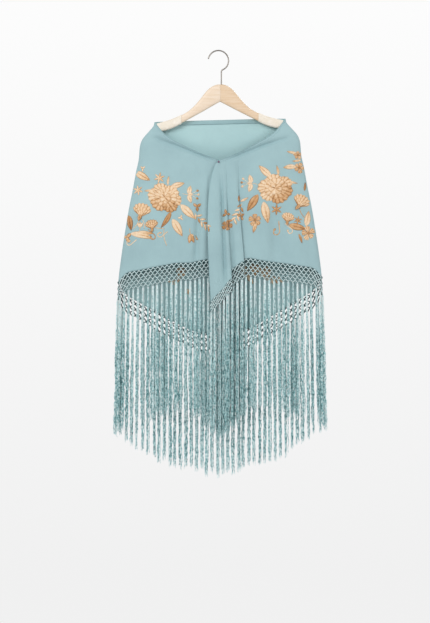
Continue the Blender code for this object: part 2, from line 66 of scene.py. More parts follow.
# %% Camera
PIXEL = 0.0026
PHOTO_WIDTH, PHOTO_HEIGHT = 430, 623
ORIGIN_PX = (220.0, 51.2)
CAMERA_DISTANCE = 4.2
SENSOR = 36.0


def from_pixel(px, py):
    """The place on the plane of the shawl that a pixel of the photograph shows: x and height."""
    return (px - ORIGIN_PX[0]) * PIXEL, (ORIGIN_PX[1] - py) * PIXEL


def add_camera():
    middle_x, middle_z = from_pixel(PHOTO_WIDTH / 2, PHOTO_HEIGHT / 2)
    camera_data = bpy.data.cameras.new("camera")
    camera_data.sensor_width = SENSOR
    camera_data.lens = SENSOR * CAMERA_DISTANCE / (PHOTO_HEIGHT * PIXEL)
    camera = bpy.data.objects.new("camera", camera_data)
    camera.location = (middle_x, -CAMERA_DISTANCE, middle_z)
    camera.rotation_euler = (math.radians(90), 0, 0)
    bpy.context.scene.collection.objects.link(camera)
    bpy.context.scene.camera = camera
    return camera


camera = add_camera()
print("lens", round(camera.data.lens, 1), "mm")

# %% [markdown]
# ## Floor, light and background
#
# The photograph has an even white ground and soft light from the front, a little stronger from the
# upper left. A pale world, one large soft lamp in front and two weaker ones give that. The world is
# brighter to the camera than to the shawl, as a lit paper wall would be, and a little darker lower
# down. The floor is a round plate, well below the fringe.

# %% Floor, light and background
FLOOR_HEIGHT = -1.70
FLOOR_RADIUS = 0.95
FLOOR_SIDES = 96
SKY_ON_SHAWL = 0.56
SKY_SEEN_LOW = 0.875
SKY_SEEN_HIGH = 0.975
SKY_LOW = -0.155
SKY_HIGH = 0.18
Lamp = namedtuple("Lamp", "name place aim size watts")
LAMPS = (
    Lamp("front", (-1.3, -2.6, 1.0), (0.0, 0.0, -0.60), 1.5, 50),
    Lamp("right", (2.2, -1.6, -0.2), (0.0, 0.0, -0.70), 1.4, 13),
    Lamp("behind", (1.2, 2.1, 0.7), (0.0, 0.0, -0.60), 1.6, 42),
)


def add_lamp(lamp):
    data = bpy.data.lights.new(lamp.name, "AREA")
    data.shape = "SQUARE"
    data.size = lamp.size
    data.energy = lamp.watts
    thing = bpy.data.objects.new("lamp_" + lamp.name, data)
    thing.location = lamp.place
    heading = Vector(lamp.aim) - Vector(lamp.place)
    thing.rotation_euler = heading.to_track_quat("-Z", "Y").to_euler()
    bpy.context.scene.collection.objects.link(thing)


def add_node(tree, kind, inputs=None, **settings):
    """Adds a node. inputs gives each socket a value, or the output socket that feeds it."""
    node = tree.nodes.new(kind)
    for name, value in settings.items():
        setattr(node, name, value)
    for key, value in (inputs or {}).items():
        if isinstance(value, bpy.types.NodeSocket):
            tree.links.new(value, node.inputs[key])
        else:
            node.inputs[key].default_value = value
    return node


def add_world():
    world = bpy.data.worlds.new("pale_studio")
    world.use_nodes = True
    tree = world.node_tree
    path = add_node(tree, "ShaderNodeLightPath")
    heading = add_node(tree, "ShaderNodeTexCoord").outputs["Generated"]
    height = add_node(tree, "ShaderNodeSeparateXYZ", {"Vector": heading}).outputs["Z"]
    seen = add_node(tree, "ShaderNodeMapRange", {
        "Value": height, "From Min": SKY_LOW, "From Max": SKY_HIGH, "To Min": SKY_SEEN_LOW,
        "To Max": SKY_SEEN_HIGH})
    strength = add_node(tree, "ShaderNodeMapRange", {
        "Value": path.outputs["Is Camera Ray"], "To Min": SKY_ON_SHAWL, "To Max": seen.outputs[0]})
    background = tree.nodes["Background"]
    background.inputs["Color"].default_value = (1.0, 1.0, 1.0, 1.0)
    tree.links.new(strength.outputs["Result"], background.inputs["Strength"])
    bpy.context.scene.world = world


def add_floor():
    form = bmesh.new()
    bmesh.ops.create_circle(form, cap_ends=True, segments=FLOOR_SIDES, radius=FLOOR_RADIUS)
    bmesh.ops.translate(form, verts=form.verts, vec=(0, 0, FLOOR_HEIGHT))
    mesh = bpy.data.meshes.new("floor")
    form.to_mesh(mesh)
    form.free()
    paint = bpy.data.materials.new("floor_paint")
    paint.use_nodes = True
    shader = paint.node_tree.nodes["Principled BSDF"]
    shader.inputs["Base Color"].default_value = (0.86, 0.87, 0.88, 1)
    shader.inputs["Roughness"].default_value = 0.9
    mesh.materials.append(paint)
    floor = bpy.data.objects.new("floor", mesh)
    bpy.context.scene.collection.objects.link(floor)


for lamp in LAMPS:
    add_lamp(lamp)
add_world()
add_floor()
bpy.context.scene.view_settings.view_transform = "Standard"
print("lamps:", len(LAMPS))

# %% [markdown]
# ## Sizes of the garment
#
# These are the part's own sizes, in metres. One table gives the width and depth at each height, one
# the hem and the ends of the fringe, one the neck edge, and two the lines of the folds. A smooth
# curve through a table's rows gives any value between them.

# %% Tables
SIDE_FLAT = 0.0015
LENS_POWER = 3.0
TILT = 0.026
CORNER_HEIGHT = -0.181
BACK_EDGE_RISE = 0.003
PIN_OVERLAP = 0.006
LAYER_GAP = 0.0022
HEM_HALF_WIDTH = 0.2640
FOLD_START = 0.2
FOLD_EASE = 0.6
STRETCHES = ("front_right", "front_left", "back")

SideRow = namedtuple("SideRow", "height half_width front_depth back_depth")
SIDE_ROWS = (
    SideRow(-0.181, 0.1700, 0.0100, 0.0135),
    SideRow(-0.191, 0.1730, 0.0110, 0.0135),
    SideRow(-0.205, 0.1850, 0.0125, 0.0135),
    SideRow(-0.223, 0.2005, 0.0150, 0.0135),
    SideRow(-0.241, 0.2075, 0.0170, 0.0135),
    SideRow(-0.277, 0.2110, 0.0195, 0.0140),
    SideRow(-0.309, 0.2180, 0.0210, 0.0145),
    SideRow(-0.353, 0.2260, 0.0225, 0.0150),
    SideRow(-0.407, 0.2370, 0.0240, 0.0160),
    SideRow(-0.467, 0.2470, 0.0250, 0.0170),
    SideRow(-0.527, 0.2560, 0.0260, 0.0175),
    SideRow(-0.594, 0.2640, 0.0260, 0.0175),
    SideRow(-0.700, 0.2680, 0.0260, 0.0175),
    SideRow(-0.960, 0.2735, 0.0260, 0.0175),
)

EdgeRow = namedtuple("EdgeRow", "out front_hem back_hem front_end back_end")
EDGE_ROWS = (
    EdgeRow(0.00, -0.546, -0.737, -1.003, -1.106),
    EdgeRow(0.10, -0.546, -0.735, -0.985, -1.100),
    EdgeRow(0.25, -0.546, -0.728, -0.945, -1.090),
    EdgeRow(0.40, -0.548, -0.709, -0.936, -1.083),
    EdgeRow(0.60, -0.556, -0.679, -0.946, -1.063),
    EdgeRow(0.80, -0.565, -0.648, -0.959, -1.029),
    EdgeRow(0.93, -0.573, -0.625, -0.975, -1.001),
    EdgeRow(1.00, -0.594, -0.594, -0.985, -0.985),
)
SIDE_HEM_HEIGHT = EDGE_ROWS[-1].front_hem

NeckRow = namedtuple("NeckRow", "share half_x height")
NECK_ROWS = (
    NeckRow(0.00, 0.0000, -0.2880),
    NeckRow(0.30, 0.0520, -0.2660),
    NeckRow(0.58, 0.1014, -0.2410),
    NeckRow(0.77, 0.1315, -0.2240),
    NeckRow(0.90, 0.1500, -0.2070),
    NeckRow(1.00, 0.1700, -0.1810),
)

Fold = namedtuple("Fold", "share line_x fold_x bow hem_height depth steps")
RIGHT_FOLDS = (
    Fold(0.400, 0.0900, 0.0000, 0.0000, -0.5440, 0.0000, 1),
    Fold(0.330, 0.0770, 0.0000, 0.0000, -0.5415, -0.0030, 2),
    Fold(0.290, 0.0660, -0.0100, 0.0000, -0.5430, -0.0060, 2),
    Fold(0.270, 0.0635, -0.0340, 0.0000, -0.5455, -0.0072, 2),
    Fold(0.262, 0.0630, -0.0390, 0.0000, -0.5460, -0.0040, 2),
    Fold(0.250, 0.0625, -0.0200, 0.0000, -0.5475, -0.0018, 2),
    Fold(0.236, 0.0620, 0.0000, 0.0000, -0.5490, 0.0012, 2),
    Fold(0.215, 0.0530, 0.0000, 0.0000, -0.5525, 0.0050, 2),
    Fold(0.165, 0.0370, 0.0000, 0.0000, -0.5640, 0.0030, 2),
    Fold(0.125, 0.0330, -0.0130, 0.0000, -0.5750, 0.0002, 2),
    Fold(0.105, 0.0320, -0.0280, 0.0000, -0.5840, -0.0004, 2),
    Fold(0.098, 0.0315, -0.0270, 0.0000, -0.5850, 0.0036, 2),
    Fold(0.088, 0.0310, -0.0090, 0.0000, -0.5905, 0.0058, 2),
    Fold(0.076, 0.0305, 0.0000, 0.0000, -0.5945, 0.0085, 2),
    Fold(0.060, 0.0230, 0.0000, 0.0000, -0.5985, 0.0125, 2),
    Fold(0.040, 0.0080, 0.0000, 0.0000, -0.6180, 0.0095, 2),
    Fold(0.022, -0.0095, 0.0000, -0.0100, -0.6350, 0.0155, 2),
    Fold(0.008, -0.0195, 0.0000, -0.0170, -0.6460, 0.0130, 1),
    Fold(0.000, -0.0235, 0.0000, -0.0190, -0.6510, 0.0105, 1),
)
LEFT_FOLDS = (
    Fold(0.400, -0.0760, 0.0000, 0.0000, -0.5490, 0.0000, 2),
    Fold(0.300, -0.0610, 0.0000, 0.0000, -0.5460, -0.0030, 2),
    Fold(0.230, -0.0460, 0.0000, 0.0000, -0.5430, 0.0010, 2),
    Fold(0.160, -0.0290, 0.0000, 0.0000, -0.5420, -0.0020, 2),
    Fold(0.120, -0.0150, 0.0000, 0.0000, -0.5470, -0.0030, 2),
    Fold(0.095, -0.0080, 0.0120, 0.0000, -0.5550, -0.0040, 2),
    Fold(0.080, -0.0075, 0.0125, 0.0000, -0.5560, -0.0085, 2),
    Fold(0.060, -0.0070, -0.0030, 0.0000, -0.5640, -0.0110, 2),
    Fold(0.050, -0.0068, -0.0130, 0.0000, -0.5720, -0.0125, 2),
    Fold(0.040, -0.0065, -0.0120, 0.0000, -0.5735, -0.0168, 2),
    Fold(0.020, -0.0060, 0.0020, 0.0000, -0.5860, -0.0190, 2),
    Fold(0.000, -0.0055, 0.0120, 0.0000, -0.5990, -0.0205, 1),
)
FRONT_ANGLES = (90, 78, 66, 54, 43, 33, 25)


def lerp(a, b, share):
    return a + (b - a) * share


def smooth_step(low, high, value):
    share = min(1.0, max(0.0, (value - low) / (high - low)))
    return share * share * (3 - 2 * share)


def read_table(rows, key, value):
    """The row for any value of the key column, on a smooth curve through the table's rows."""
    keys = [getattr(row, key) for row in rows]
    sign = 1 if keys[-1] > keys[0] else -1
    value = min(max(keys), max(min(keys), value))
    last = len(rows) - 1
    i = 0
    while i < last - 1 and (value - keys[i + 1]) * sign > 0:
        i += 1
    span = keys[i + 1] - keys[i]
    share = (value - keys[i]) / span
    square, cube = share**2, share**3
    before, after = max(i - 1, 0), min(i + 2, last)
    found = []
    for column in range(len(rows[0])):
        here, there = rows[i][column], rows[i + 1][column]
        slope_here = (there - rows[before][column]) / (keys[i + 1] - keys[before]) * span
        slope_there = (rows[after][column] - here) / (keys[after] - keys[i]) * span
        found.append(
            (2 * cube - 3 * square + 1) * here
            + (cube - 2 * square + share) * slope_here
            + (3 * square - 2 * cube) * there
            + (cube - square) * slope_there
        )
    return type(rows[0])(*found)


def curve_through(points, steps):
    """A smooth run through the points, with so many steps from each one to the next."""
    found = []
    last = len(points) - 1
    for i in range(last):
        before, here = points[max(i - 1, 0)], points[i]
        there, after = points[i + 1], points[min(i + 2, last)]
        for k in range(steps[i]):
            s = k / steps[i]
            bend = (2 * before - 5 * here + 4 * there - after) * s**2
            twist = (3 * here - before - 3 * there + after) * s**3
            found.append((2 * here + (there - before) * s + bend + twist) / 2)
    found.append(points[last])
    return found


def side_row(height):
    return read_table(SIDE_ROWS, "height", height)


def edge_row(out):
    return read_table(EDGE_ROWS, "out", abs(out))


def lens(out):
    """Depth across the flattened body: 1 in the middle and 0 at the side lines."""
    return math.sqrt(max(0.0, 1.0 - min(1.0, abs(out)) ** LENS_POWER))


def place(x, y, height):
    """A point of the shawl, which hangs a little higher on the viewer's right."""
    return Vector((x, y, height + TILT * x))


def front_y(x, height):
    row = side_row(height)
    return -SIDE_FLAT - row.front_depth * lens(x / row.half_width)


def neck_point(side, share):
    """A point on the front part of the long edge. The two fronts overlap a little at the pin."""
    row = read_table(NECK_ROWS, "share", share)
    return side * (row.half_x - PIN_OVERLAP * (1 - share) ** 4), row.height


def side_edge(side, t):
    height = lerp(CORNER_HEIGHT, SIDE_HEM_HEIGHT, t)
    return place(side * side_row(height).half_width, 0.0, height)


print("table rows:", len(SIDE_ROWS) + len(EDGE_ROWS) + len(RIGHT_FOLDS) + len(LEFT_FOLDS))

# %% [markdown]
# ## The hanging cloth
#
# Crepe is soft and heavy: it falls in long smooth stretches, with folds only where it is gathered.
# The cloth could be simulated, but the folds at the pin have to lie as they do in the photograph, so
# the sheet is a grid drawn through the fold lines. Each row of the grid is a smooth curve from one
# side line to the free edge below the pin.

# %% Grid of the cloth
FINE_ROWS = 84
SMOOTH_FINE = 6
FOLD_FINE = 3
BACK_FINE = 56
ROW_CROWDING = 1.35
TENSION_DEPTH = 0.0034
TENSION_WIDTH = 0.020
TENSION_SHARE = 0.060


def tension(share, t):
    """The soft trough that runs beside the neck edge and closes towards the pin."""
    strength = smooth_step(0.0, 0.2, share) * (1 - smooth_step(0.8, 1.0, share))
    return TENSION_DEPTH * strength * math.exp(-(((t - TENSION_SHARE * share) / TENSION_WIDTH) ** 2))


def smooth_point(side, across, t, first_fold):
    """A point of a front between its side line (across 1) and its first fold."""
    inner = abs(first_fold.line_x) / HEM_HALF_WIDTH
    share = lerp(first_fold.share, 1.0, (across - inner) / (1 - inner))
    top_x, top_height = neck_point(side, share)
    height = lerp(top_height, edge_row(across).front_hem, t)
    side_height = lerp(CORNER_HEIGHT, SIDE_HEM_HEIGHT, t)
    chord = lerp(NECK_ROWS[-1].half_x, HEM_HALF_WIDTH, t)
    swell = (side_row(side_height).half_width - chord) * across**3
    x = side * (lerp(abs(top_x), across * HEM_HALF_WIDTH, t) + swell)
    return place(x, front_y(x, height) + tension(share, t), height)


def fold_point(side, fold, t):
    """A point on one line of the folds."""
    top_x, top_height = neck_point(side, fold.share)
    height = lerp(top_height, fold.hem_height, t)
    straight = lerp(top_x, fold.line_x, t)
    sideways = fold.fold_x * smooth_step(FOLD_START, 1.0, t)
    bow = fold.bow * math.sin(math.pi * t**FOLD_EASE)
    layer = LAYER_GAP * side * (1 - smooth_step(0.0, 0.35, fold.share))
    depth = fold.depth * t**FOLD_EASE + layer / 2
    y = front_y(straight, height) - depth + tension(fold.share, t)
    return place(straight + sideways + bow, y, height)


def front_row(side, t):
    """One row of a front, from the side line to the free edge below the pin."""
    folds = RIGHT_FOLDS if side > 0 else LEFT_FOLDS
    points = [side_edge(side, t)]
    for angle in FRONT_ANGLES:
        points.append(smooth_point(side, math.sin(math.radians(angle)), t, folds[0]))
    points += [fold_point(side, fold, t) for fold in folds]
    steps = [1] + [SMOOTH_FINE] * len(FRONT_ANGLES) + [fold.steps * FOLD_FINE for fold in folds]
    return curve_through(points, steps)


def back_point(out, t):
    """A point of the back. out runs from -1 at one side line to 1 at the other."""
    size = abs(out)
    height = lerp(CORNER_HEIGHT + BACK_EDGE_RISE * lens(size), edge_row(size).back_hem, t)
    x = out * side_row(lerp(CORNER_HEIGHT, SIDE_HEM_HEIGHT, t)).half_width
    return place(x, SIDE_FLAT + side_row(height).back_depth * lens(size), height)


def back_row(t):
    """One row of the back, from the left side line to the right one."""
    points = [side_edge(-1, t)]
    for k in range(-BACK_FINE, BACK_FINE + 1):
        points.append(back_point(math.sin(math.pi / 2 * k / BACK_FINE), t))
    points.append(side_edge(1, t))
    return points


def stretch_row(stretch, t):
    if stretch == "back":
        return back_row(t)
    return front_row(1 if stretch == "front_right" else -1, t)


def cloth_grid(stretch):
    """The bare grid of one stretch: rows from the long edge to the hem, crowded near the edge."""
    shares = [(k / FINE_ROWS) ** ROW_CROWDING for k in range(FINE_ROWS + 1)]
    return np.array([[tuple(point) for point in stretch_row(stretch, t)] for t in shares])


grids = {stretch: cloth_grid(stretch) for stretch in STRETCHES}
print({stretch: grid.shape[:2] for stretch, grid in grids.items()})

# %% [markdown]
# ## Creases
#
# Long shallow troughs and ridges make the sheet hang like cloth and not like card. Each row below is
# one crease: where it starts and ends, how wide it is, and how far it stands out (above 0) or in.
# The places are uneven, like the real ones. A crease fades out at both of its ends.

# %% Creases
Crease = namedtuple("Crease", "stretch x1 z1 x2 z2 width depth")
CREASES = (
    Crease("front_right", 0.186, -0.224, 0.100, -0.251, 0.0042, -0.0046),
    Crease("front_right", 0.120, -0.245, 0.014, -0.288, 0.0042, -0.0042),
    Crease("front_right", 0.176, -0.212, 0.118, -0.238, 0.0070, 0.0022),
    Crease("front_right", 0.138, -0.400, 0.146, -0.556, 0.0120, -0.0060),
    Crease("front_right", 0.106, -0.300, 0.118, -0.548, 0.0180, 0.0026),
    Crease("front_right", 0.182, -0.300, 0.206, -0.558, 0.0200, 0.0022),
    Crease("front_right", 0.224, -0.380, 0.236, -0.560, 0.0110, -0.0020),
    Crease("front_right", 0.170, -0.470, 0.172, -0.562, 0.0090, -0.0018),
    Crease("front_right", 0.060, -0.290, 0.081, -0.430, 0.0070, -0.0018),
    Crease("front_right", 0.003, -0.335, 0.014, -0.620, 0.0045, -0.0085),
    Crease("front_right", 0.028, -0.455, 0.035, -0.585, 0.0048, -0.0040),
    Crease("front_left", -0.183, -0.222, -0.095, -0.254, 0.0042, -0.0046),
    Crease("front_left", -0.110, -0.248, -0.010, -0.291, 0.0042, -0.0038),
    Crease("front_left", -0.172, -0.210, -0.116, -0.238, 0.0070, 0.0022),
    Crease("front_left", -0.052, -0.380, -0.063, -0.548, 0.0060, -0.0038),
    Crease("front_left", -0.070, -0.400, -0.078, -0.548, 0.0090, 0.0026),
    Crease("front_left", -0.140, -0.320, -0.154, -0.556, 0.0220, -0.0030),
    Crease("front_left", -0.105, -0.300, -0.114, -0.545, 0.0160, 0.0024),
    Crease("front_left", -0.196, -0.340, -0.214, -0.560, 0.0160, 0.0024),
    Crease("front_left", -0.230, -0.430, -0.240, -0.562, 0.0090, -0.0020),
    Crease("front_left", -0.022, -0.330, -0.030, -0.470, 0.0070, 0.0016),
    Crease("front_left", -0.028, -0.325, -0.031, -0.540, 0.0030, -0.0026),
    Crease("back", -0.150, -0.205, -0.040, -0.250, 0.0200, -0.0028),
    Crease("back", 0.150, -0.200, 0.050, -0.246, 0.0180, -0.0026),
    Crease("back", -0.165, -0.240, -0.130, -0.620, 0.0240, 0.0032),
    Crease("back", 0.165, -0.235, 0.120, -0.640, 0.0220, 0.0030),
    Crease("back", -0.090, -0.330, -0.070, -0.690, 0.0180, -0.0034),
    Crease("back", 0.074, -0.300, 0.060, -0.700, 0.0200, -0.0030),
    Crease("back", -0.012, -0.280, -0.004, -0.725, 0.0260, 0.0034),
    Crease("back", -0.200, -0.380, -0.190, -0.600, 0.0140, -0.0028),
    Crease("back", 0.205, -0.360, 0.196, -0.610, 0.0150, -0.0026),
    Crease("back", 0.020, -0.520, 0.028, -0.728, 0.0110, -0.0024),
    Crease("back", -0.040, -0.480, -0.036, -0.722, 0.0120, -0.0022),
    Crease("back", 0.100, -0.500, 0.094, -0.690, 0.0120, 0.0022),
    Crease("back", -0.115, -0.520, -0.105, -0.680, 0.0130, 0.0020),
)
SIDE_CALM = 0.018


def crease_profile(grid, crease):
    """How strongly one crease lifts each point of a grid."""
    start = np.array([crease.x1, crease.z1])
    run = np.array([crease.x2, crease.z2]) - start
    length = np.linalg.norm(run)
    flat = grid[:, :, (0, 2)] - start
    along = flat @ run / length**2
    beside = (flat[:, :, 0] * run[1] - flat[:, :, 1] * run[0]) / length
    past_end = np.maximum(0.0, np.maximum(-along, along - 1.0)) * length
    ease = np.clip(np.minimum(along, 1.0 - along) * 4 + 0.25, 0.0, 1.0)
    reach = np.exp(-((beside / crease.width) ** 2) - (past_end / (2 * crease.width)) ** 2)
    return crease.depth * reach * np.maximum(ease, 0.25)


def add_creases(stretch, grid):
    """Moves the points of a stretch out or in, and leaves its side lines where they are."""
    outward = 1.0 if stretch == "back" else -1.0
    widest = np.abs(grid[:, :, 0]).max(axis=1, keepdims=True)
    calm = np.clip((widest - np.abs(grid[:, :, 0])) / SIDE_CALM, 0.0, 1.0)
    lift = sum(crease_profile(grid, crease) for crease in CREASES if crease.stretch == stretch)
    grid[:, :, 1] += outward * lift * calm
    return grid


for stretch in STRETCHES:
    add_creases(stretch, grids[stretch])
print("creases:", len(CREASES))

# %% [markdown]
# ## Materials that share their effects
#
# Several finishes need the same two effects: a slow mottling of the dye, and the fine height of
# threads. Each effect is one node group with named inputs, placed in a material with that material's
# own values. Numbers that are the same all over a surface are set straight on its shader.

# %% Material helpers
def colour(code):
    """A colour written as six hexadecimal digits, as the linear values that a shader takes."""
    shares = [int(code[i : i + 2], 16) / 255 for i in (0, 2, 4)]
    return (*[s / 12.92 if s <= 0.04045 else ((s + 0.055) / 1.055) ** 2.4 for s in shares], 1.0)


def shader_group(name, inputs, outputs):
    """An empty shader group with named sockets, and its input and output nodes."""
    tree = bpy.data.node_groups.new(name, "ShaderNodeTree")
    for label, kind, value in inputs:
        socket = tree.interface.new_socket(name=label, in_out="INPUT", socket_type=kind)
        if value is not None:
            socket.default_value = value
    for label, kind in outputs:
        tree.interface.new_socket(name=label, in_out="OUTPUT", socket_type=kind)
    return tree, tree.nodes.new("NodeGroupInput").outputs, tree.nodes.new("NodeGroupOutput")


def mottle_group():
    """Two colours mixed by a slow noise, for dye that took unevenly."""
    tree, given, result = shader_group(
        "mottle",
        (("Vector", "NodeSocketVector", None), ("Light", "NodeSocketColor", (1, 1, 1, 1)),
         ("Dark", "NodeSocketColor", (0, 0, 0, 1)), ("Scale", "NodeSocketFloat", 20.0)),
        (("Color", "NodeSocketColor"),),
    )
    noise = add_node(tree, "ShaderNodeTexNoise", {
        "Vector": given["Vector"], "Scale": given["Scale"], "Detail": 5.0, "Roughness": 0.6})
    spread = add_node(tree, "ShaderNodeMapRange", {
        "Value": noise.outputs["Fac"], "From Min": 0.32, "From Max": 0.68})
    mix = add_node(tree, "ShaderNodeMix", {
        0: spread.outputs["Result"], 6: given["Dark"], 7: given["Light"]}, data_type="RGBA")
    tree.links.new(mix.outputs[2], result.inputs["Color"])
    return tree


def thread_group():
    """The height of fine threads side by side: a wave across them, broken by noise."""
    tree, given, result = shader_group(
        "threads",
        (("Vector", "NodeSocketVector", None), ("Scale", "NodeSocketFloat", 1600.0),
         ("Unevenness", "NodeSocketFloat", 3.0)),
        (("Height", "NodeSocketFloat"),),
    )
    wave = add_node(tree, "ShaderNodeTexWave", {
        "Vector": given["Vector"], "Scale": given["Scale"], "Distortion": given["Unevenness"],
        "Detail": 1.0})
    noise = add_node(tree, "ShaderNodeTexNoise", {
        "Vector": given["Vector"], "Scale": given["Scale"], "Detail": 2.0, "Roughness": 0.7})
    total = add_node(tree, "ShaderNodeMath", {0: wave.outputs["Fac"], 1: noise.outputs["Fac"]},
                     operation="ADD")
    tree.links.new(total.outputs[0], result.inputs["Height"])
    return tree


def new_material(name, **constants):
    """A Principled material with its constant values set straight on the shader."""
    made = bpy.data.materials.new(name)
    made.use_nodes = True
    shader = made.node_tree.nodes["Principled BSDF"]
    for key, value in constants.items():
        shader.inputs[key.replace("_", " ")].default_value = value
    return made, made.node_tree, shader


def place_group(tree, group, inputs):
    node = tree.nodes.new("ShaderNodeGroup")
    node.node_tree = group
    for key, value in inputs.items():
        if isinstance(value, bpy.types.NodeSocket):
            tree.links.new(value, node.inputs[key])
        else:
            node.inputs[key].default_value = value
    return node.outputs[0]


def add_bump(tree, shader, height, strength, distance):
    bump = add_node(tree, "ShaderNodeBump", {
        "Height": height, "Strength": strength, "Distance": distance})
    tree.links.new(bump.outputs["Normal"], shader.inputs["Normal"])


mottle = mottle_group()
threads = thread_group()
print("shared groups:", mottle.name, threads.name)

# %% [markdown]
# ## Crepe
#
# Crepe has a fine pebbled grain and almost no shine. Its colour is a dusty aqua that is never quite
# even. The wrong side is paler, partly because crepe is paler on its wrong side and partly as painted
# light for the lit inside of the shawl. Object coordinates are enough, because the grain has no
# direction that the eye follows.

# %% Crepe
def crepe_material(name, light, dark):
    made, tree, shader = new_material(name, Roughness=0.82, Sheen_Weight=0.18, Sheen_Roughness=0.5)
    shader.inputs["Specular IOR Level"].default_value = 0.25
    where = add_node(tree, "ShaderNodeTexCoord").outputs["Object"]
    dye = place_group(tree, mottle, {
        "Vector": where, "Light": colour(light), "Dark": colour(dark), "Scale": 9.0})
    grain = place_group(tree, threads, {"Vector": where, "Scale": 900.0, "Unevenness": 6.0})
    tree.links.new(dye, shader.inputs["Base Color"])
    add_bump(tree, shader, grain, 0.30, 0.0003)
    return made


crepe = crepe_material("crepe", "A5C4C8", "9CBABF")
# paler wrong side: partly the cloth's own paler back, partly painted light for the lit inside
lit_wrong_side = crepe_material("crepe_lit_wrong_side", "B3D4D6", "AACBCE")
# painted shade: the hem crepe is darker than the crepe, for the dark line along the rolled edges and the
# band
shaded_hem_crepe = crepe_material("shaded_hem_crepe", "9DBDC1", "8DAEB3")
print("materials:", crepe.name, lit_wrong_side.name, shaded_hem_crepe.name)

# %% [markdown]
# ## The shell
#
# The three grids are joined along the side lines, so the cloth is one sheet, as cut. Solidify then
# gives it a thin wall.

# %% Shell
CLOTH_WALL = 0.0008


def add_piece(name, mesh, *materials):
    for one in materials:
        mesh.materials.append(one)
    piece = bpy.data.objects.new(name, mesh)
    bpy.context.scene.collection.objects.link(piece)
    return piece


def mesh_from(form, name):
    mesh = bpy.data.meshes.new(name)
    form.to_mesh(mesh)
    form.free()
    mesh.shade_smooth()
    return mesh


def make_plain(piece):
    """Turns a piece with modifiers, or a curve, into a plain mesh piece in the same place."""
    graph = bpy.context.evaluated_depsgraph_get()
    mesh = bpy.data.meshes.new_from_object(piece.evaluated_get(graph))
    name = piece.name
    bpy.data.objects.remove(piece)
    return add_piece(name, mesh)


def add_grid(form, rows, flip=False):
    """Quads between rows of points."""
    verts = [[form.verts.new(point) for point in row] for row in rows]
    for upper, lower in zip(verts, verts[1:]):
        for i in range(len(upper) - 1):
            corners = (upper[i], lower[i], lower[i + 1], upper[i + 1])
            form.faces.new(corners[::-1] if flip else corners)
    return verts


def thicken(piece, thickness, inner_slot=0):
    """Gives a sheet its wall. inner_slot is how many material slots on the inner side's finish is."""
    wall = piece.modifiers.new("wall", "SOLIDIFY")
    wall.thickness = thickness
    wall.offset = 0.0
    wall.material_offset = inner_slot
    return make_plain(piece)


def cloth_sheet():
    form = bmesh.new()
    for stretch in STRETCHES:
        add_grid(form, grids[stretch], flip=stretch != "front_left")
    bmesh.ops.remove_doubles(form, verts=form.verts, dist=0.00002)
    bmesh.ops.recalc_face_normals(form, faces=form.faces)
    return mesh_from(form, "shawl_cloth")


cloth = thicken(add_piece("shawl_cloth", cloth_sheet(), crepe, lit_wrong_side), CLOTH_WALL, inner_slot=1)
print("cloth faces:", len(cloth.data.polygons))

# %% [markdown]
# ## Hems
#
# The long edge is a narrow rolled hem: a thin cord of turned cloth round the neck and down the two
# free edges below the pin. Inside the back's top edge the turning shows as a flat band. Each roll is
# a curve with a bevel, and the band is a slightly puffed strip.

# %% Hems
ROLL_RADIUS = 0.00095
BAND_WIDTH = 0.010
BAND_WALL = 0.0007
BAND_PUFF = 0.0005
BAND_GAP = 0.0014
BAND_ROWS = 7
BAND_HALF_COLUMNS = 37
BAND_TOP = 0.0003


def tube_piece(name, runs, radius, sides, *materials):
    """Round tubes along runs of points, as one mesh piece with filled ends."""
    line = bpy.data.curves.new(name, "CURVE")
    line.dimensions = "3D"
    line.bevel_depth = radius
    line.bevel_resolution = sides
    line.use_fill_caps = True
    for run in runs:
        spline = line.splines.new("POLY")
        spline.points.add(len(run) - 1)
        for spot, point in zip(spline.points, run):
            spot.co = (*point, 1.0)
    for one in materials:
        line.materials.append(one)
    piece = bpy.data.objects.new(name, line)
    bpy.context.scene.collection.objects.link(piece)
    made = make_plain(piece)
    made.data.shade_smooth()
    return made


def band_rows():
    """The flat band inside the back's top edge, a little puffed between its two lines."""
    middle = BACK_FINE + 1
    top = back_row(0.0)[middle - BAND_HALF_COLUMNS : middle + BAND_HALF_COLUMNS + 1]
    rows = []
    for k in range(BAND_ROWS):
        share = k / (BAND_ROWS - 1)
        inward = BAND_GAP + BAND_PUFF * math.sin(math.pi * share)
        drop = BAND_TOP + BAND_WIDTH * share
        rows.append([point + Vector((0, -inward, -drop)) for point in top])
    return rows


def band_mesh():
    form = bmesh.new()
    add_grid(form, band_rows())
    return mesh_from(form, "neck_hem_band")


neck_band = thicken(add_piece("neck_hem_band", band_mesh(), shaded_hem_crepe), BAND_WALL)
edge_runs = [[Vector(point) for point in grids[stretch][0]] for stretch in STRETCHES]
free_runs = [[Vector(row[-1]) for row in grids[stretch]] for stretch in STRETCHES[:2]]
rolled_hem = tube_piece("rolled_hem", edge_runs + free_runs, ROLL_RADIUS, 2, shaded_hem_crepe)
print("rolled hems:", len(edge_runs) + len(free_runs))

# %% [markdown]
# ## A Geometry Nodes toolbox
#
# Stitches, the net and the fringe all repeat one small thing many times. Geometry Nodes suit that:
# the script gives them points, and a tree grows the thing on each point. Each tree has named inputs
# and ends in Realize Instances and Set Material, so its result can be made a plain mesh.

# %% Geometry Nodes toolbox
SOCKET_KINDS = {float: "NodeSocketFloat", int: "NodeSocketInt"}


def geometry_tree(name, **inputs):
    """A tree with a geometry input, named number inputs, and a material input."""
    tree = bpy.data.node_groups.new(name, "GeometryNodeTree")
    tree.interface.new_socket(name="Geometry", in_out="INPUT", socket_type="NodeSocketGeometry")
    for label, value in inputs.items():
        kind = SOCKET_KINDS[type(value)]
        socket = tree.interface.new_socket(name=label, in_out="INPUT", socket_type=kind)
        socket.default_value = value
    tree.interface.new_socket(name="material", in_out="INPUT", socket_type="NodeSocketMaterial")
    tree.interface.new_socket(name="Geometry", in_out="OUTPUT", socket_type="NodeSocketGeometry")
    return tree, tree.nodes.new("NodeGroupInput").outputs


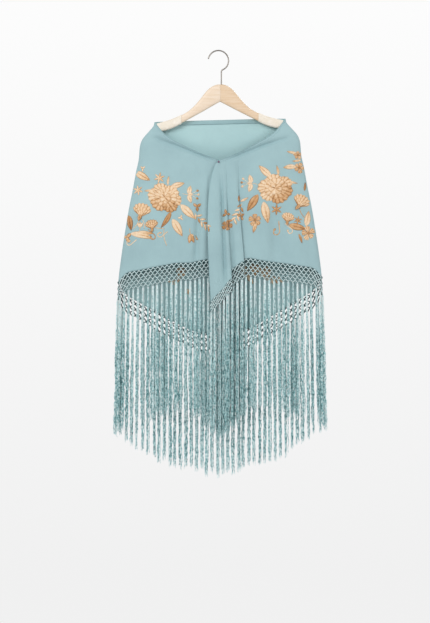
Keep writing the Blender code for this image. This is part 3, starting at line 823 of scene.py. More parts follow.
def finish_tree(tree, given, geometry):
    """Realizes what the tree made, smooths it and gives it its material."""
    real = add_node(tree, "GeometryNodeRealizeInstances", {"Geometry": geometry})
    smooth = add_node(tree, "GeometryNodeSetShadeSmooth", {"Geometry": real.outputs["Geometry"]})
    done = add_node(tree, "GeometryNodeSetMaterial", {
        "Geometry": smooth.outputs["Geometry"], "Material": given["material"]})
    result = tree.nodes.new("NodeGroupOutput")
    tree.links.new(done.outputs["Geometry"], result.inputs["Geometry"])


def grow(piece, tree, **values):
    """Runs a tree on a piece and leaves a plain mesh."""
    modifier = piece.modifiers.new(tree.name, "NODES")
    modifier.node_group = tree
    for item in tree.interface.items_tree:
        if item.in_out == "INPUT" and item.name in values:
            modifier[item.identifier] = values[item.name]
    return make_plain(piece)


def math_node(tree, operation, first, second=0.0):
    return add_node(tree, "ShaderNodeMath", {0: first, 1: second}, operation=operation).outputs[0]


def vector_node(tree, operation, first, second=None, scale=None):
    inputs = {0: first}
    if second is not None:
        inputs[1] = second
    if scale is not None:
        inputs["Scale"] = scale
    return add_node(tree, "ShaderNodeVectorMath", inputs, operation=operation).outputs["Vector"]


def read_attribute(tree, name, kind="FLOAT"):
    node = add_node(tree, "GeometryNodeInputNamedAttribute", {"Name": name}, data_type=kind)
    return node.outputs["Attribute"]


def point_mesh(name, points, edges=(), **attributes):
    """A mesh of bare points or wires, with named numbers or directions on its points."""
    mesh = bpy.data.meshes.new(name)
    mesh.from_pydata([tuple(point) for point in points], list(edges), [])
    for label, values in attributes.items():
        flat = np.array([tuple(v) if hasattr(v, "__len__") else v for v in values], dtype=float)
        kind = "FLOAT_VECTOR" if flat.ndim > 1 else "FLOAT"
        stored = mesh.attributes.new(label, kind, "POINT")
        stored.data.foreach_set("vector" if flat.ndim > 1 else "value", flat.ravel())
    return mesh


print("socket kinds:", len(SOCKET_KINDS))

# %% [markdown]
# ## Hem stitches
#
# A row of small hand stitches holds the rolled hem, a few millimetres in from the edge. A wire runs
# where the needle went. The tree walks along it in even steps and lays one short bead of thread at
# each step, turned along the wire.

# %% Hem stitches
STITCH_STEP = 0.0048
STITCH_INSET = 0.0042
STITCH_PROUD = 0.0006


def stitch_tree():
    tree, given = geometry_tree("hem_stitches", step=STITCH_STEP, radius=0.00045, length=2.6)
    wire = add_node(tree, "GeometryNodeMeshToCurve", {"Mesh": given["Geometry"]})
    walk = add_node(tree, "GeometryNodeCurveToPoints", {
        "Curve": wire.outputs["Curve"], "Length": given["step"]}, mode="LENGTH")
    turn = add_node(tree, "FunctionNodeAlignRotationToVector", {
        "Vector": walk.outputs["Tangent"]}, axis="X")
    bead = add_node(tree, "GeometryNodeMeshIcoSphere", {"Radius": given["radius"], "Subdivisions": 2})
    size = add_node(tree, "ShaderNodeCombineXYZ", {"X": given["length"], "Y": 1.0, "Z": 1.0})
    laid = add_node(tree, "GeometryNodeInstanceOnPoints", {
        "Points": walk.outputs["Points"], "Instance": bead.outputs["Mesh"],
        "Rotation": turn.outputs["Rotation"], "Scale": size.outputs["Vector"]})
    finish_tree(tree, given, laid.outputs["Instances"])
    return tree


def wire_mesh(name, runs):
    points, edges = [], []
    for run in runs:
        edges += [(len(points) + i, len(points) + i + 1) for i in range(len(run) - 1)]
        points += list(run)
    return point_mesh(name, points, edges)


def inset_run(stretch):
    """A line on the outside of a stretch, a little below its long edge."""
    outward = 1.0 if stretch == "back" else -1.0
    grid = grids[stretch]
    lengths = np.linalg.norm(grid[1:, :] - grid[:-1, :], axis=2).cumsum(axis=0)
    run = []
    for column in range(3, grid.shape[1] - 3):
        row = int(np.searchsorted(lengths[:, column], STITCH_INSET)) + 1
        run.append(Vector(grid[row, column]) + Vector((0, outward * STITCH_PROUD, 0)))
    return run


thread_material, thread_nodes, thread_shader = new_material("hem_thread", Roughness=0.6)
thread_where = add_node(thread_nodes, "ShaderNodeTexCoord").outputs["Object"]
thread_dye = place_group(thread_nodes, mottle, {
    "Vector": thread_where, "Light": colour("8FB4B8"), "Dark": colour("6F979B"), "Scale": 300.0})
thread_nodes.links.new(thread_dye, thread_shader.inputs["Base Color"])
stitches = add_piece("hem_stitches", wire_mesh("hem_stitches", [inset_run(s) for s in STRETCHES]))
stitches = grow(stitches, stitch_tree(), material=thread_material)
print("stitch faces:", len(stitches.data.polygons))

# %% [markdown]
# ## The knotted net
#
# A net of silky cord is worked into the hem by hand: six rows of knots, each half a step to the
# side of the row above, so the cords between them leave rounded diamonds. The script places the
# knots under the hem's true length and draws each cord as a wire with a soft S. The tree turns the
# wires into pairs of round cords, a pale one and a dark one behind it whose colour is painted shade,
# and ties a knot on each crossing. The dark cords of the fronts' top row are thicker, as a painted
# shadow under the hem, because the net looks darkest there.

# %% Net material
def cord_material(name, light, dark, shade_cord_colour):
    made, tree, shader = new_material(name, Roughness=0.45, Sheen_Weight=0.3, Sheen_Roughness=0.4)
    where = add_node(tree, "ShaderNodeTexCoord").outputs["Object"]
    dye = place_group(tree, mottle, {
        "Vector": where, "Light": colour(light), "Dark": colour(dark), "Scale": 260.0})
    # painted shade: the darker cord behind each pale cord takes the last colour given
    twin = add_node(tree, "ShaderNodeAttribute", attribute_name="twin").outputs["Fac"]
    both = add_node(tree, "ShaderNodeMix", {0: twin, 6: dye, 7: colour(shade_cord_colour)}, data_type="RGBA")
    ply = place_group(tree, threads, {"Vector": where, "Scale": 700.0, "Unevenness": 2.0})
    tree.links.new(both.outputs[2], shader.inputs["Base Color"])
    add_bump(tree, shader, ply, 0.5, 0.0003)
    return made


# 225458 is painted shade, the colour of the dark cord behind each pale one
net_cord = cord_material("net_cord", "EEFAFA", "C0E0E2", "225458")
print("material:", net_cord.name)

# %% Net
NET_HEIGHT = 0.046
NET_HEIGHT_AT_CORNER = 0.028
NET_PITCH = {"front_right": 0.0120, "front_left": 0.0120, "back": 0.0138}
NET_ROWS = 6
CORD_BENDS = 4
SHADE_CORD_SETBACK = 0.0016
TOP_ROW_SHADE = 1.1
KNOT_JITTER = 0.0007
NET_SEED = 23


def hang(point, drop):
    """The point this far below a hem point, following the flare of the sides."""
    height = point.z - TILT * point.x
    here, there = side_row(height).half_width, side_row(height - drop).half_width
    share = min(1.0, abs(point.x) / here)
    return Vector((point.x * lerp(1.0, there / here, share**2), point.y, point.z - drop))


def hem_run(stretch):
    """The hem of a stretch, each point with the height of the net there."""
    points = [Vector(point) for point in grids[stretch][-1]]
    if stretch == "back":
        return [(point, NET_HEIGHT) for point in points]
    smooth = 1 + len(FRONT_ANGLES) * SMOOTH_FINE
    last = len(points) - 1
    run = []
    for i, point in enumerate(points):
        towards_corner = smooth_step(0.3, 1.0, (i - smooth) / (last - smooth))
        run.append((point, lerp(NET_HEIGHT, NET_HEIGHT_AT_CORNER, towards_corner)))
    return run


def walk_run(run, distance):
    """The hem point at a distance along the hem, and the net's height there."""
    for (here, drop), (there, next_drop) in zip(run, run[1:]):
        length = math.hypot(there.x - here.x, there.y - here.y)
        if distance <= length:
            share = distance / length
            return here.lerp(there, share), lerp(drop, next_drop, share)
        distance -= length
    return run[-1]


def run_length(run):
    return sum(math.hypot(b[0].x - a[0].x, b[0].y - a[0].y) for a, b in zip(run, run[1:]))


def knot_places(run, pitch, chance):
    """Rows of knots. Row 0 lies on the hem and the last row carries the fringe."""
    total = run_length(run)
    count = max(3, round(total / pitch))
    pitch = total / count
    rows = []
    for row in range(NET_ROWS + 1):
        shift = 0.5 if row % 2 else 0.0
        places = []
        for k in range(count if row % 2 else count + 1):
            distance = min(total, max(0.0, (k + shift) * pitch))
            point, height = walk_run(run, distance)
            knot = hang(point, height * row / NET_ROWS)
            jitter = KNOT_JITTER * min(row, 1)
            knot += Vector((chance.uniform(-jitter, jitter), 0, chance.uniform(-jitter, jitter)))
            places.append(knot)
        rows.append(places)
    return rows


def cord_wire(start, end):
    """A soft S from one knot to the next: it leaves and arrives almost straight down."""
    points = []
    for k in range(CORD_BENDS + 1):
        s = k / CORD_BENDS
        across = lerp(s, s * s * (3 - 2 * s), 0.75)
        points.append(Vector((lerp(start.x, end.x, across), lerp(start.y, end.y, across),
                              lerp(start.z, end.z, s))))
    return points


def net_wires(rows, shade_top_row):
    """Every cord as a wire. A cord of the top row is marked where its dark cord behind is made thicker, as
    a painted shadow under the hem.
    """
    points, edges, knots, tops = [], [], [], []
    for row, (upper, lower) in enumerate(zip(rows, rows[1:])):
        for k, start in enumerate(upper):
            ends = (k - 1, k) if row % 2 == 0 else (k, k + 1)
            for end in ends:
                if 0 <= end < len(lower):
                    wire = cord_wire(start, lower[end])
                    first = len(points)
                    points += wire
                    edges += [(first + i, first + i + 1) for i in range(CORD_BENDS)]
                    knots += [0.0] * CORD_BENDS + [1.0]
                    tops += [float(row == 0 and shade_top_row)] * len(wire)
    return point_mesh("net_wires", points, edges, knot=knots, top=tops)


def net_tree():
    tree, given = geometry_tree("knotted_net", cord_radius=0.00105, twin_radius=0.0016, setback=0.0016,
                                knot_radius=0.0018, sides=6)
    wire = add_node(tree, "GeometryNodeMeshToCurve", {"Mesh": given["Geometry"]}).outputs["Curve"]
    behind = add_node(tree, "ShaderNodeCombineXYZ", {"Y": given["setback"]}).outputs["Vector"]
    parts = []
    # the second cord of each pair is the dark one behind, painted shade; TOP_ROW_SHADE thickens it in the
    # top row as a painted shadow under the hem
    for twin, radius in ((0.0, "cord_radius"), (1.0, "twin_radius")):
        shade = math_node(tree, "MULTIPLY", read_attribute(tree, "top"), twin * TOP_ROW_SHADE)
        more = math_node(tree, "ADD", shade, 1.0)
        offset = vector_node(tree, "SCALE", behind, scale=math_node(tree, "MULTIPLY", more, twin))
        moved = add_node(tree, "GeometryNodeSetPosition", {"Geometry": wire, "Offset": offset})
        marked = add_node(tree, "GeometryNodeStoreNamedAttribute", {
            "Geometry": moved.outputs["Geometry"], "Name": "twin", "Value": twin})
        ring = add_node(tree, "GeometryNodeCurvePrimitiveCircle", {
            "Resolution": given["sides"], "Radius": given[radius]})
        cord = add_node(tree, "GeometryNodeCurveToMesh", {
            "Curve": marked.outputs["Geometry"], "Profile Curve": ring.outputs["Curve"],
            "Scale": more})
        parts.append(cord.outputs["Mesh"])
    tied = add_node(tree, "FunctionNodeCompare", {0: read_attribute(tree, "knot"), 1: 0.5})
    knot = add_node(tree, "GeometryNodeMeshIcoSphere", {
        "Radius": given["knot_radius"], "Subdivisions": 2})
    knots = add_node(tree, "GeometryNodeInstanceOnPoints", {
        "Points": given["Geometry"], "Selection": tied.outputs["Result"],
        "Instance": knot.outputs["Mesh"], "Scale": (0.95, 0.8, 1.25)})
    both = add_node(tree, "GeometryNodeJoinGeometry")
    for part in [*parts, knots.outputs["Instances"]]:
        tree.links.new(part, both.inputs["Geometry"])
    finish_tree(tree, given, both.outputs["Geometry"])
    return tree


knotting = net_tree()
knot_rows, nets = {}, {}
for stretch in STRETCHES:
    knot_rows[stretch] = knot_places(hem_run(stretch), NET_PITCH[stretch], random.Random(NET_SEED))
    wires = add_piece("knotted_net_" + stretch, net_wires(knot_rows[stretch], stretch != "back"))
    inward = -SHADE_CORD_SETBACK if stretch == "back" else SHADE_CORD_SETBACK
    nets[stretch] = grow(wires, knotting, material=net_cord, setback=inward)
print("net faces:", {name: len(net.data.polygons) for name, net in nets.items()})

# %% [markdown]
# ## The fringe
#
# Each strand is a bundle of crinkled rayon yarns knotted into the foot of the net. It starts tight
# and smooth, opens into a soft brush and ends frayed. Hair would not export, so each yarn is a thin
# tube: the tree copies every root, hangs one line on each copy, shakes the lines with noise that
# grows on the way down, and sweeps a small triangle along them.

# %% Fringe material
def fringe_material():
    made, tree, shader = new_material(
        "fringe_rayon", Roughness=0.42, Sheen_Weight=0.35, Sheen_Roughness=0.35)
    pick = add_node(tree, "ShaderNodeAttribute", attribute_name="shade").outputs["Fac"]
    where = add_node(tree, "ShaderNodeTexCoord").outputs["Object"]
    noise = add_node(tree, "ShaderNodeTexNoise", {"Vector": where, "Scale": 190.0, "Detail": 2.0})
    down = add_node(tree, "ShaderNodeAttribute", attribute_name="down").outputs["Fac"]
    # painted sheen: the strands are lighter near their top, where the yarns lie smooth
    painted_sheen_top = add_node(tree, "ShaderNodeMapRange", {
        "Value": down, "From Max": 0.4, "To Min": 0.38, "To Max": 0.0}).outputs["Result"]
    speckle = add_node(tree, "ShaderNodeMapRange", {
        "Value": noise.outputs["Fac"], "From Min": 0.34, "From Max": 0.66, "To Max": 0.6}).outputs["Result"]
    total = math_node(tree, "ADD", math_node(tree, "MULTIPLY", pick, 0.40), speckle)
    ramp = add_node(tree, "ShaderNodeValToRGB", {"Fac": math_node(tree, "ADD", total, painted_sheen_top)})
    tones = ramp.color_ramp.elements
    tones[0].position, tones[0].color = 0.15, colour("528A8E")
    tones[1].position, tones[1].color = 0.95, colour("EDFAFA")
    for position, code in ((0.40, "9ACBCE"), (0.66, "CCEAEB")):
        tones.new(position).color = colour(code)
    tree.links.new(ramp.outputs["Color"], shader.inputs["Base Color"])
    return made


rayon = fringe_material()
print("material:", rayon.name)

# %% Fringe
STRAND_TOP_GAP = 0.0015
FRINGE_SEED = 31
LENGTH_SPREAD = 0.010


def strand_roots(stretch, chance):
    """Where each strand starts, how far it hangs and how much it leans with the body's flare."""
    roots, drops, leans, shades = [], [], [], []
    for knot in knot_rows[stretch][-1]:
        out = min(1.0, abs(knot.x) / HEM_HALF_WIDTH)
        row = edge_row(out)
        end = row.back_end if stretch == "back" else row.front_end
        end += TILT * knot.x + chance.uniform(-LENGTH_SPREAD, LENGTH_SPREAD * 0.6)
        drop = knot.z - STRAND_TOP_GAP - end
        foot = hang(knot, drop)
        roots.append(knot - Vector((0, 0, STRAND_TOP_GAP)))
        drops.append(drop)
        leans.append(Vector((foot.x - knot.x, 0, 0)))
        shades.append(chance.random())
    return point_mesh("strand_roots", roots, drop=drops, lean=leans, strand=shades)


def fringe_tree():
    tree, given = geometry_tree(
        "crinkled_fringe", yarns=9, steps=80, yarn_radius=0.00110, bundle=0.0040, crinkle=0.0085,
        sway=0.006, seed=5)
    copies = add_node(tree, "GeometryNodeDuplicateElements", {
        "Geometry": given["Geometry"], "Amount": given["yarns"]}, domain="POINT")
    line = add_node(tree, "GeometryNodeCurvePrimitiveLine", {"End": (0.0, 0.0, -1.0)})
    fine = add_node(tree, "GeometryNodeResampleCurve", {
        "Curve": line.outputs["Curve"], "Count": given["steps"]})
    vary = add_node(tree, "FunctionNodeRandomValue", {2: 0.955, 3: 1.0, "Seed": given["seed"]})
    tall = math_node(tree, "MULTIPLY", read_attribute(tree, "drop"), vary.outputs[1])
    size = add_node(tree, "ShaderNodeCombineXYZ", {"X": 1.0, "Y": 1.0, "Z": tall})
    hung = add_node(tree, "GeometryNodeInstanceOnPoints", {
        "Points": copies.outputs["Geometry"], "Instance": fine.outputs["Curve"],
        "Scale": size.outputs["Vector"]})
    real = add_node(tree, "GeometryNodeRealizeInstances", {"Geometry": hung.outputs["Instances"]})
    along = add_node(tree, "GeometryNodeSplineParameter").outputs["Factor"]
    each = add_node(tree, "FunctionNodeRandomValue", {"Seed": given["seed"]})
    yarn = add_node(tree, "GeometryNodeFieldOnDomain", {0: each.outputs[1]}, domain="CURVE").outputs[0]
    spot = add_node(tree, "FunctionNodeRandomValue", {
        0: (-1.0, -0.7, 0.0), 1: (1.0, 0.7, 0.0), "Seed": given["seed"]}, data_type="FLOAT_VECTOR")
    aside = add_node(tree, "GeometryNodeFieldOnDomain", {0: spot.outputs[0]}, domain="CURVE",
                     data_type="FLOAT_VECTOR").outputs[0]
    open_up = add_node(tree, "ShaderNodeMapRange", {
        "Value": along, "From Max": 0.45, "To Min": 0.55}).outputs["Result"]
    ramp = add_node(tree, "ShaderNodeMapRange", {
        "Value": along, "From Min": 0.05, "From Max": 0.5, "To Min": 0.04}).outputs["Result"]
    where = add_node(tree, "GeometryNodeInputPosition").outputs["Position"]
    fast = add_node(tree, "ShaderNodeTexNoise", {
        "Vector": where, "W": math_node(tree, "MULTIPLY", yarn, 90.0), "Scale": 95.0,
        "Detail": 1.0}, noise_dimensions="4D").outputs["Color"]
    slow = add_node(tree, "ShaderNodeTexNoise", {
        "Vector": where, "W": math_node(tree, "MULTIPLY", read_attribute(tree, "strand"), 70.0),
        "Scale": 9.0, "Detail": 1.0}, noise_dimensions="4D").outputs["Color"]
    middle = (0.5, 0.5, 0.5)
    shake = vector_node(tree, "SCALE", vector_node(tree, "SUBTRACT", fast, middle),
                        scale=math_node(tree, "MULTIPLY", ramp, given["crinkle"]))
    drift = vector_node(tree, "SCALE", vector_node(tree, "SUBTRACT", slow, middle),
                        scale=math_node(tree, "MULTIPLY", along, given["sway"]))
    apart = vector_node(tree, "SCALE", aside, scale=math_node(
        tree, "MULTIPLY", open_up, given["bundle"]))
    lean = vector_node(tree, "SCALE", read_attribute(tree, "lean", "FLOAT_VECTOR"), scale=along)
    offset = vector_node(tree, "ADD", vector_node(tree, "ADD", shake, drift),
                         vector_node(tree, "ADD", apart, lean))
    moved = add_node(tree, "GeometryNodeSetPosition", {
        "Geometry": real.outputs["Geometry"], "Offset": offset})
    shaded = add_node(tree, "GeometryNodeStoreNamedAttribute", {
        "Geometry": moved.outputs["Geometry"], "Name": "shade", "Value": yarn})
    measured = add_node(tree, "GeometryNodeStoreNamedAttribute", {
        "Geometry": shaded.outputs["Geometry"], "Name": "down", "Value": along})
    ring = add_node(tree, "GeometryNodeCurvePrimitiveCircle", {
        "Resolution": 3, "Radius": given["yarn_radius"]})
    taper = add_node(tree, "ShaderNodeMapRange", {
        "Value": along, "From Min": 0.9, "To Min": 1.0, "To Max": 0.45}).outputs["Result"]
    swept = add_node(tree, "GeometryNodeCurveToMesh", {
        "Curve": measured.outputs["Geometry"], "Profile Curve": ring.outputs["Curve"], "Scale": taper})
    finish_tree(tree, given, swept.outputs["Mesh"])
    return tree


spinning = fringe_tree()
fringes = {}
for stretch in STRETCHES:
    roots = add_piece("rayon_fringe_" + stretch, strand_roots(stretch, random.Random(FRINGE_SEED)))
    fringes[stretch] = grow(roots, spinning, material=rayon)
print("fringe faces:", {name: len(one.data.polygons) for name, one in fringes.items()})

# %% [markdown]
# ## Embroidery: the stitches of one shape
#
# The flowers are satin stitch: silk threads laid side by side, so each petal or leaf stands a little
# proud and shines across its threads. One petal or leaf is a small domed grid of points with
# grooves where the stitcher changed direction. Its own UV map counts metres across and along the
# threads, so the stripes keep their real size on every shape, and a tone on each point says how
# brown the silk is. The tone also holds painted shade: it is darker in the grooves and at the foot
# of each shape, where the shape above overlaps it.

# %% One petal, leaf or stem
Shape = namedtuple("Shape", "points tones threads")
SILK_HEIGHT = 0.0011
SILK_EDGE = 0.0002
SILK_UNDER = -0.0006
THREAD_SLANT = 0.7
SILK_STEP = 0.0042
GROOVE_DEPTH = 0.45
# painted shade: how much darker the grooves are
GROOVE_SHADE = 0.34
PETAL_FOOT = 0.10
STEM_HEIGHT = 0.0007


def silk_grid(outline, rows, columns, ribs, tone, edge_tone, foot_shade, tip_tone,
              height=SILK_HEIGHT, slant=0.0):
    """A domed shape. outline(s, v) gives a point for s along it and v across it from -1 to 1."""
    points, tones, threads_at = [], [], []
    for i in range(rows + 1):
        s = i / rows
        line, tone_line, thread_line = [], [], []
        for j in range(columns + 1):
            v = 2 * j / columns - 1
            groove = (1 - abs(math.sin(ribs * math.pi * (v + 1) / 2))) ** 2 if ribs else 0.0
            dome = math.sqrt(max(0.0, 1 - v * v)) * math.sqrt(max(0.0, 1 - (2 * s - 1) ** 4))
            x, z = outline(s, v)
            line.append((x, z, SILK_EDGE + height * dome * (1 - GROOVE_DEPTH * groove)))
            # painted shade: the grooves between ribs are darker
            shade = tone + edge_tone * abs(v) ** 9 + GROOVE_SHADE * groove * min(1.0, 2.2 * s)
            # painted shade at the foot, where the shape above overlaps it
            shade += foot_shade * (1 - s) ** 2 + tip_tone * s**3
            tone_line.append(min(1.0, shade))
            thread_line.append((x - slant * abs(z), z) if slant else (z, x))
        points.append(line)
        tones.append(tone_line)
        threads_at.append(thread_line)
    return Shape(points, tones, threads_at)


def row_count(length):
    """Enough rows for a shape of this length to follow the cloth."""
    return max(6, math.ceil(length / SILK_STEP))


def petal(length, spread, tone=0.0, ribs=4, ruffle=0.09):
    """A wide petal: ribs fan out from its foot over an angle and end in a scalloped edge."""
    half = math.radians(spread) / 2

    def outline(s, v):
        bulge = abs(math.sin(ribs * math.pi * (v + 1) / 2))
        reach = length * lerp(PETAL_FOOT, 1.0, s) * (1 - ruffle * s * s * (1 - bulge) - 0.26 * s * v**4)
        return reach * math.cos(half * v), reach * math.sin(half * v)
    # 0.30 is painted shade at the petal's foot
    return silk_grid(outline, row_count(length), 4 * ribs, ribs, tone, 0.46, 0.30, 0.22)


def leaf(length, width, tone=0.1, bend=0.0, ribs=2, tip=0.40):
    """A pointed leaf with a sunk middle vein. bend carries its tip sideways."""
    def outline(s, v):
        half = width / 2 * math.sin(math.pi * s**0.85) ** 0.85 + 0.0002
        return length * s, bend * length * s * s + half * v
    return silk_grid(outline, row_count(length), 4 * ribs, ribs, tone, 0.12, 0.10, tip,
                     slant=THREAD_SLANT)


def stem(path, width=0.0016, tone=0.25):
    """A stem along a bent path of a few points."""
    spots = curve_through([Vector((x, z, 0)) for x, z in path], [5] * (len(path) - 1))
    headings = [(after - before).normalized() for before, after in
                zip([spots[0], *spots[:-1]], [*spots[1:], spots[-1]])]

    def outline(s, v):
        i = round(s * (len(spots) - 1))
        side = Vector((-headings[i].y, headings[i].x, 0)) * width / 2 * v
        return spots[i].x + side.x, spots[i].y + side.y
    return silk_grid(outline, len(spots) - 1, 2, 0, tone, 0.1, 0.0, 0.1, STEM_HEIGHT, THREAD_SLANT)


def turned(shape, degrees, shift=(0.0, 0.0), lift=0.0):
    """A shape turned anticlockwise, moved in the plane and lifted off the cloth."""
    c, s = math.cos(math.radians(degrees)), math.sin(math.radians(degrees))
    points = [[(shift[0] + x * c - z * s, shift[1] + x * s + z * c, up + lift) for x, z, up in line]
              for line in shape.points]
    return Shape(points, shape.tones, shape.threads)


def squashed(shape, share):
    """A shape made lower, so that a round flower becomes an oval one."""
    points = [[(x, z * share, up) for x, z, up in line] for line in shape.points]
    return Shape(points, shape.tones, shape.threads)


print("thread height", SILK_HEIGHT * 1000, "mm")

# %% [markdown]
# ## Embroidery: flowers, leaves and sprays
#
# A bouquet is a few kinds of motif at many sizes: full peonies, carnations seen from the side,
# bells with stamens, small stars, buds, leaves and sprays. Each kind is a function that returns
# its shapes for a size of 1 across, heading along +X. The choice of petals is this shawl's own.

# %% Motifs
Ring = namedtuple("Ring", "count foot reach spread ribs lift")
PEONY_RINGS = (
    Ring(6, 0.17, 0.36, 122, 5, 0.0),
    Ring(5, 0.06, 0.30, 128, 4, 0.0016),
    Ring(3, -0.05, 0.25, 140, 3, 0.0030),
)
PEONY_SQUASH = 0.83
PEONY_SHADE = 0.30
CARNATION_FOOT = -0.26
CARNATION_FANS = (
    Ring(1, CARNATION_FOOT, 0.68, 112, 7, 0.0),
    Ring(1, CARNATION_FOOT, 0.52, 98, 5, 0.0010),
    Ring(1, CARNATION_FOOT, 0.35, 84, 4, 0.0020),
)


def peony(size, tone, chance):
    """Rings of wide ribbed petals over each other, darker on one side, with a brown heart."""
    shapes = []
    for ring in PEONY_RINGS:
        first = chance.uniform(0, 360)
        for k in range(ring.count):
            angle = math.radians(first + 360 * k / ring.count + chance.uniform(-8, 8))
            shade = tone + PEONY_SHADE * max(0.0, math.cos(angle + 0.9)) * (ring.foot + ring.reach) * 2
            one = petal(size * ring.reach * chance.uniform(0.92, 1.06), ring.spread, shade, ring.ribs)
            foot = (size * ring.foot * math.cos(angle), size * ring.foot * math.sin(angle))
            lean = chance.uniform(-14, 14)
            shapes.append(turned(one, math.degrees(angle) + lean, foot, ring.lift + 0.0004 * (k % 3)))
    for k in range(2):
        one = leaf(size * 0.13, size * 0.035, tone + 0.46, tip=0.1)
        shapes.append(turned(one, 165 * k + chance.uniform(-30, 30), lift=0.0044))
    return [squashed(shape, PEONY_SQUASH) for shape in shapes]


def carnation(size, tone, chance):
    """A flower from the side: three ribbed fans over each other out of a brown cup."""
    shapes = []
    for ring in CARNATION_FANS:
        one = petal(size * ring.reach, ring.spread, tone + chance.uniform(0.0, 0.08), ring.ribs)
        shapes.append(turned(one, chance.uniform(-5, 5), (ring.foot * size, 0.0), ring.lift))
    side = chance.choice((-1, 1))
    cup = leaf(size * 0.34, size * 0.17, 0.40, tip=0.1)
    shapes.append(turned(cup, 180 + side * 14, ((CARNATION_FOOT + 0.14) * size, 0.0), 0.0030))
    return shapes


def bell(size, tone, chance):
    """A bell flower from the side: two long lobes, a short one between them, and stamens."""
    foot = (-0.14 * size, 0.0)
    shapes = [turned(leaf(size * reach, size * 0.30, tone, tip=0.2), angle, foot)
              for angle, reach in ((74, 0.56), (-74, 0.56), (0, 0.26))]
    shapes.append(stem([(-0.50 * size, 0.06 * size), (-0.30 * size, 0.0), foot], 0.0014, 0.1))
    for angle in (-34, -4, 26):
        c, s = math.cos(math.radians(angle)), math.sin(math.radians(angle))
        path = [(0, 0), (0.24 * size * c, 0.24 * size * s), (0.44 * size * c, 0.44 * size * s)]
        shapes.append(stem(path, 0.0011, 0.05))
        bud = leaf(size * 0.17, size * 0.14, chance.choice((0.05, 0.5)), tip=0.1)
        shapes.append(turned(bud, angle, (0.40 * size * c, 0.40 * size * s)))
    return shapes


def star(size, tone, chance):
    """A small star of six thin petals."""
    return [turned(leaf(size * 0.52, size * 0.17, tone + chance.uniform(0, 0.2), ribs=1, tip=0.1),
                   60 * k + 18) for k in range(6)]


def bloom(size, tone, chance):
    """A small open flower of five wide petals."""
    shapes = [turned(petal(size * chance.uniform(0.44, 0.54), 66, tone + chance.uniform(0, 0.15), 3),
                     72 * k + 10) for k in range(5)]
    shapes.append(turned(leaf(size * 0.22, size * 0.13, 0.55, tip=0.0), 0, (-size * 0.1, 0), 0.0012))
    return shapes


def tulip(size, tone, chance):
    """A bud of three pointed petals on a short stem."""
    shapes = []
    for k, angle in enumerate((-30, 0, 30)):
        one = leaf(size * 0.64, size * 0.27, tone + 0.14 * (k % 2), ribs=1, tip=0.2)
        shapes.append(turned(one, angle, (-size * 0.15, 0)))
    shapes.append(stem([(-0.5 * size, 0.10 * size), (-0.3 * size, 0.02 * size), (-0.1 * size, 0)]))
    return shapes


def single_leaf(size, tone, chance):
    return [turned(leaf(size, size * 0.38, tone, bend=chance.uniform(-0.12, 0.12)), 0, (-size / 2, 0))]


def blade(size, tone, chance):
    """A long narrow leaf."""
    return [turned(leaf(size, size * 0.26, tone, bend=chance.uniform(-0.2, 0.2)), 0, (-size / 2, 0))]


def spray(size, tone, chance):
    """A bent stem with small leaves on both sides."""
    bend = chance.uniform(-0.15, 0.15) * size
    shapes = [stem([(-size / 2, 0), (0, bend), (size / 2, 0)], 0.0012, tone + 0.1)]
    for k in range(9):
        along = -0.44 + 0.11 * k
        side = 1 if k % 2 else -1
        middle = bend * (1 - (2 * along) ** 2)
        one = leaf(size * chance.uniform(0.24, 0.34), size * 0.10, tone + chance.choice((0, 0.05, 0.4)),
                   ribs=1, tip=0.3)
        shapes.append(turned(one, side * chance.uniform(25, 60), (along * size, middle)))
    return shapes


def sprig(size, tone, chance):
    """Three small knots of thread close together."""
    return [turned(leaf(size * 0.50, size * 0.30, tone + chance.uniform(-0.1, 0.15), ribs=1, tip=0.1),
                   120 * k + chance.uniform(-20, 20)) for k in range(3)]


def curl(size, tone, chance):
    """A hooked stem with a bud at its end."""
    path = [(-0.5, -0.1), (-0.15, 0.02), (0.2, 0.14), (0.42, 0.02), (0.40, -0.20), (0.22, -0.26)]
    shapes = [stem([(x * size, z * size) for x, z in path], 0.0024, tone)]
    shapes.append(turned(leaf(size * 0.24, size * 0.14, tone, ribs=1), 160, (0.24 * size, -0.26 * size)))
    return shapes


def stalk(size, tone, chance):
    """A bare stem."""
    return [stem([(-size / 2, 0), (0, chance.uniform(-0.1, 0.1) * size), (size / 2, 0)], 0.0018, tone)]


MAKERS = {made.__name__: made for made in (
    peony, carnation, bell, star, bloom, tulip, single_leaf, blade, spray, sprig, curl, stalk)}
print("kinds of motif:", len(MAKERS))

# %% [markdown]
# ## Embroidery: where the motifs lie
#
# The two fronts carry sprays round a big peony each, and the back, which is one panel, carries the
# main bouquet. A row gives the motif's kind, its place as a pixel of the photograph, its size in
# pixels, its heading and its tone. The arrangement follows the photograph in general, not line by
# line. The back's places use the same pixels, seen through the shawl.

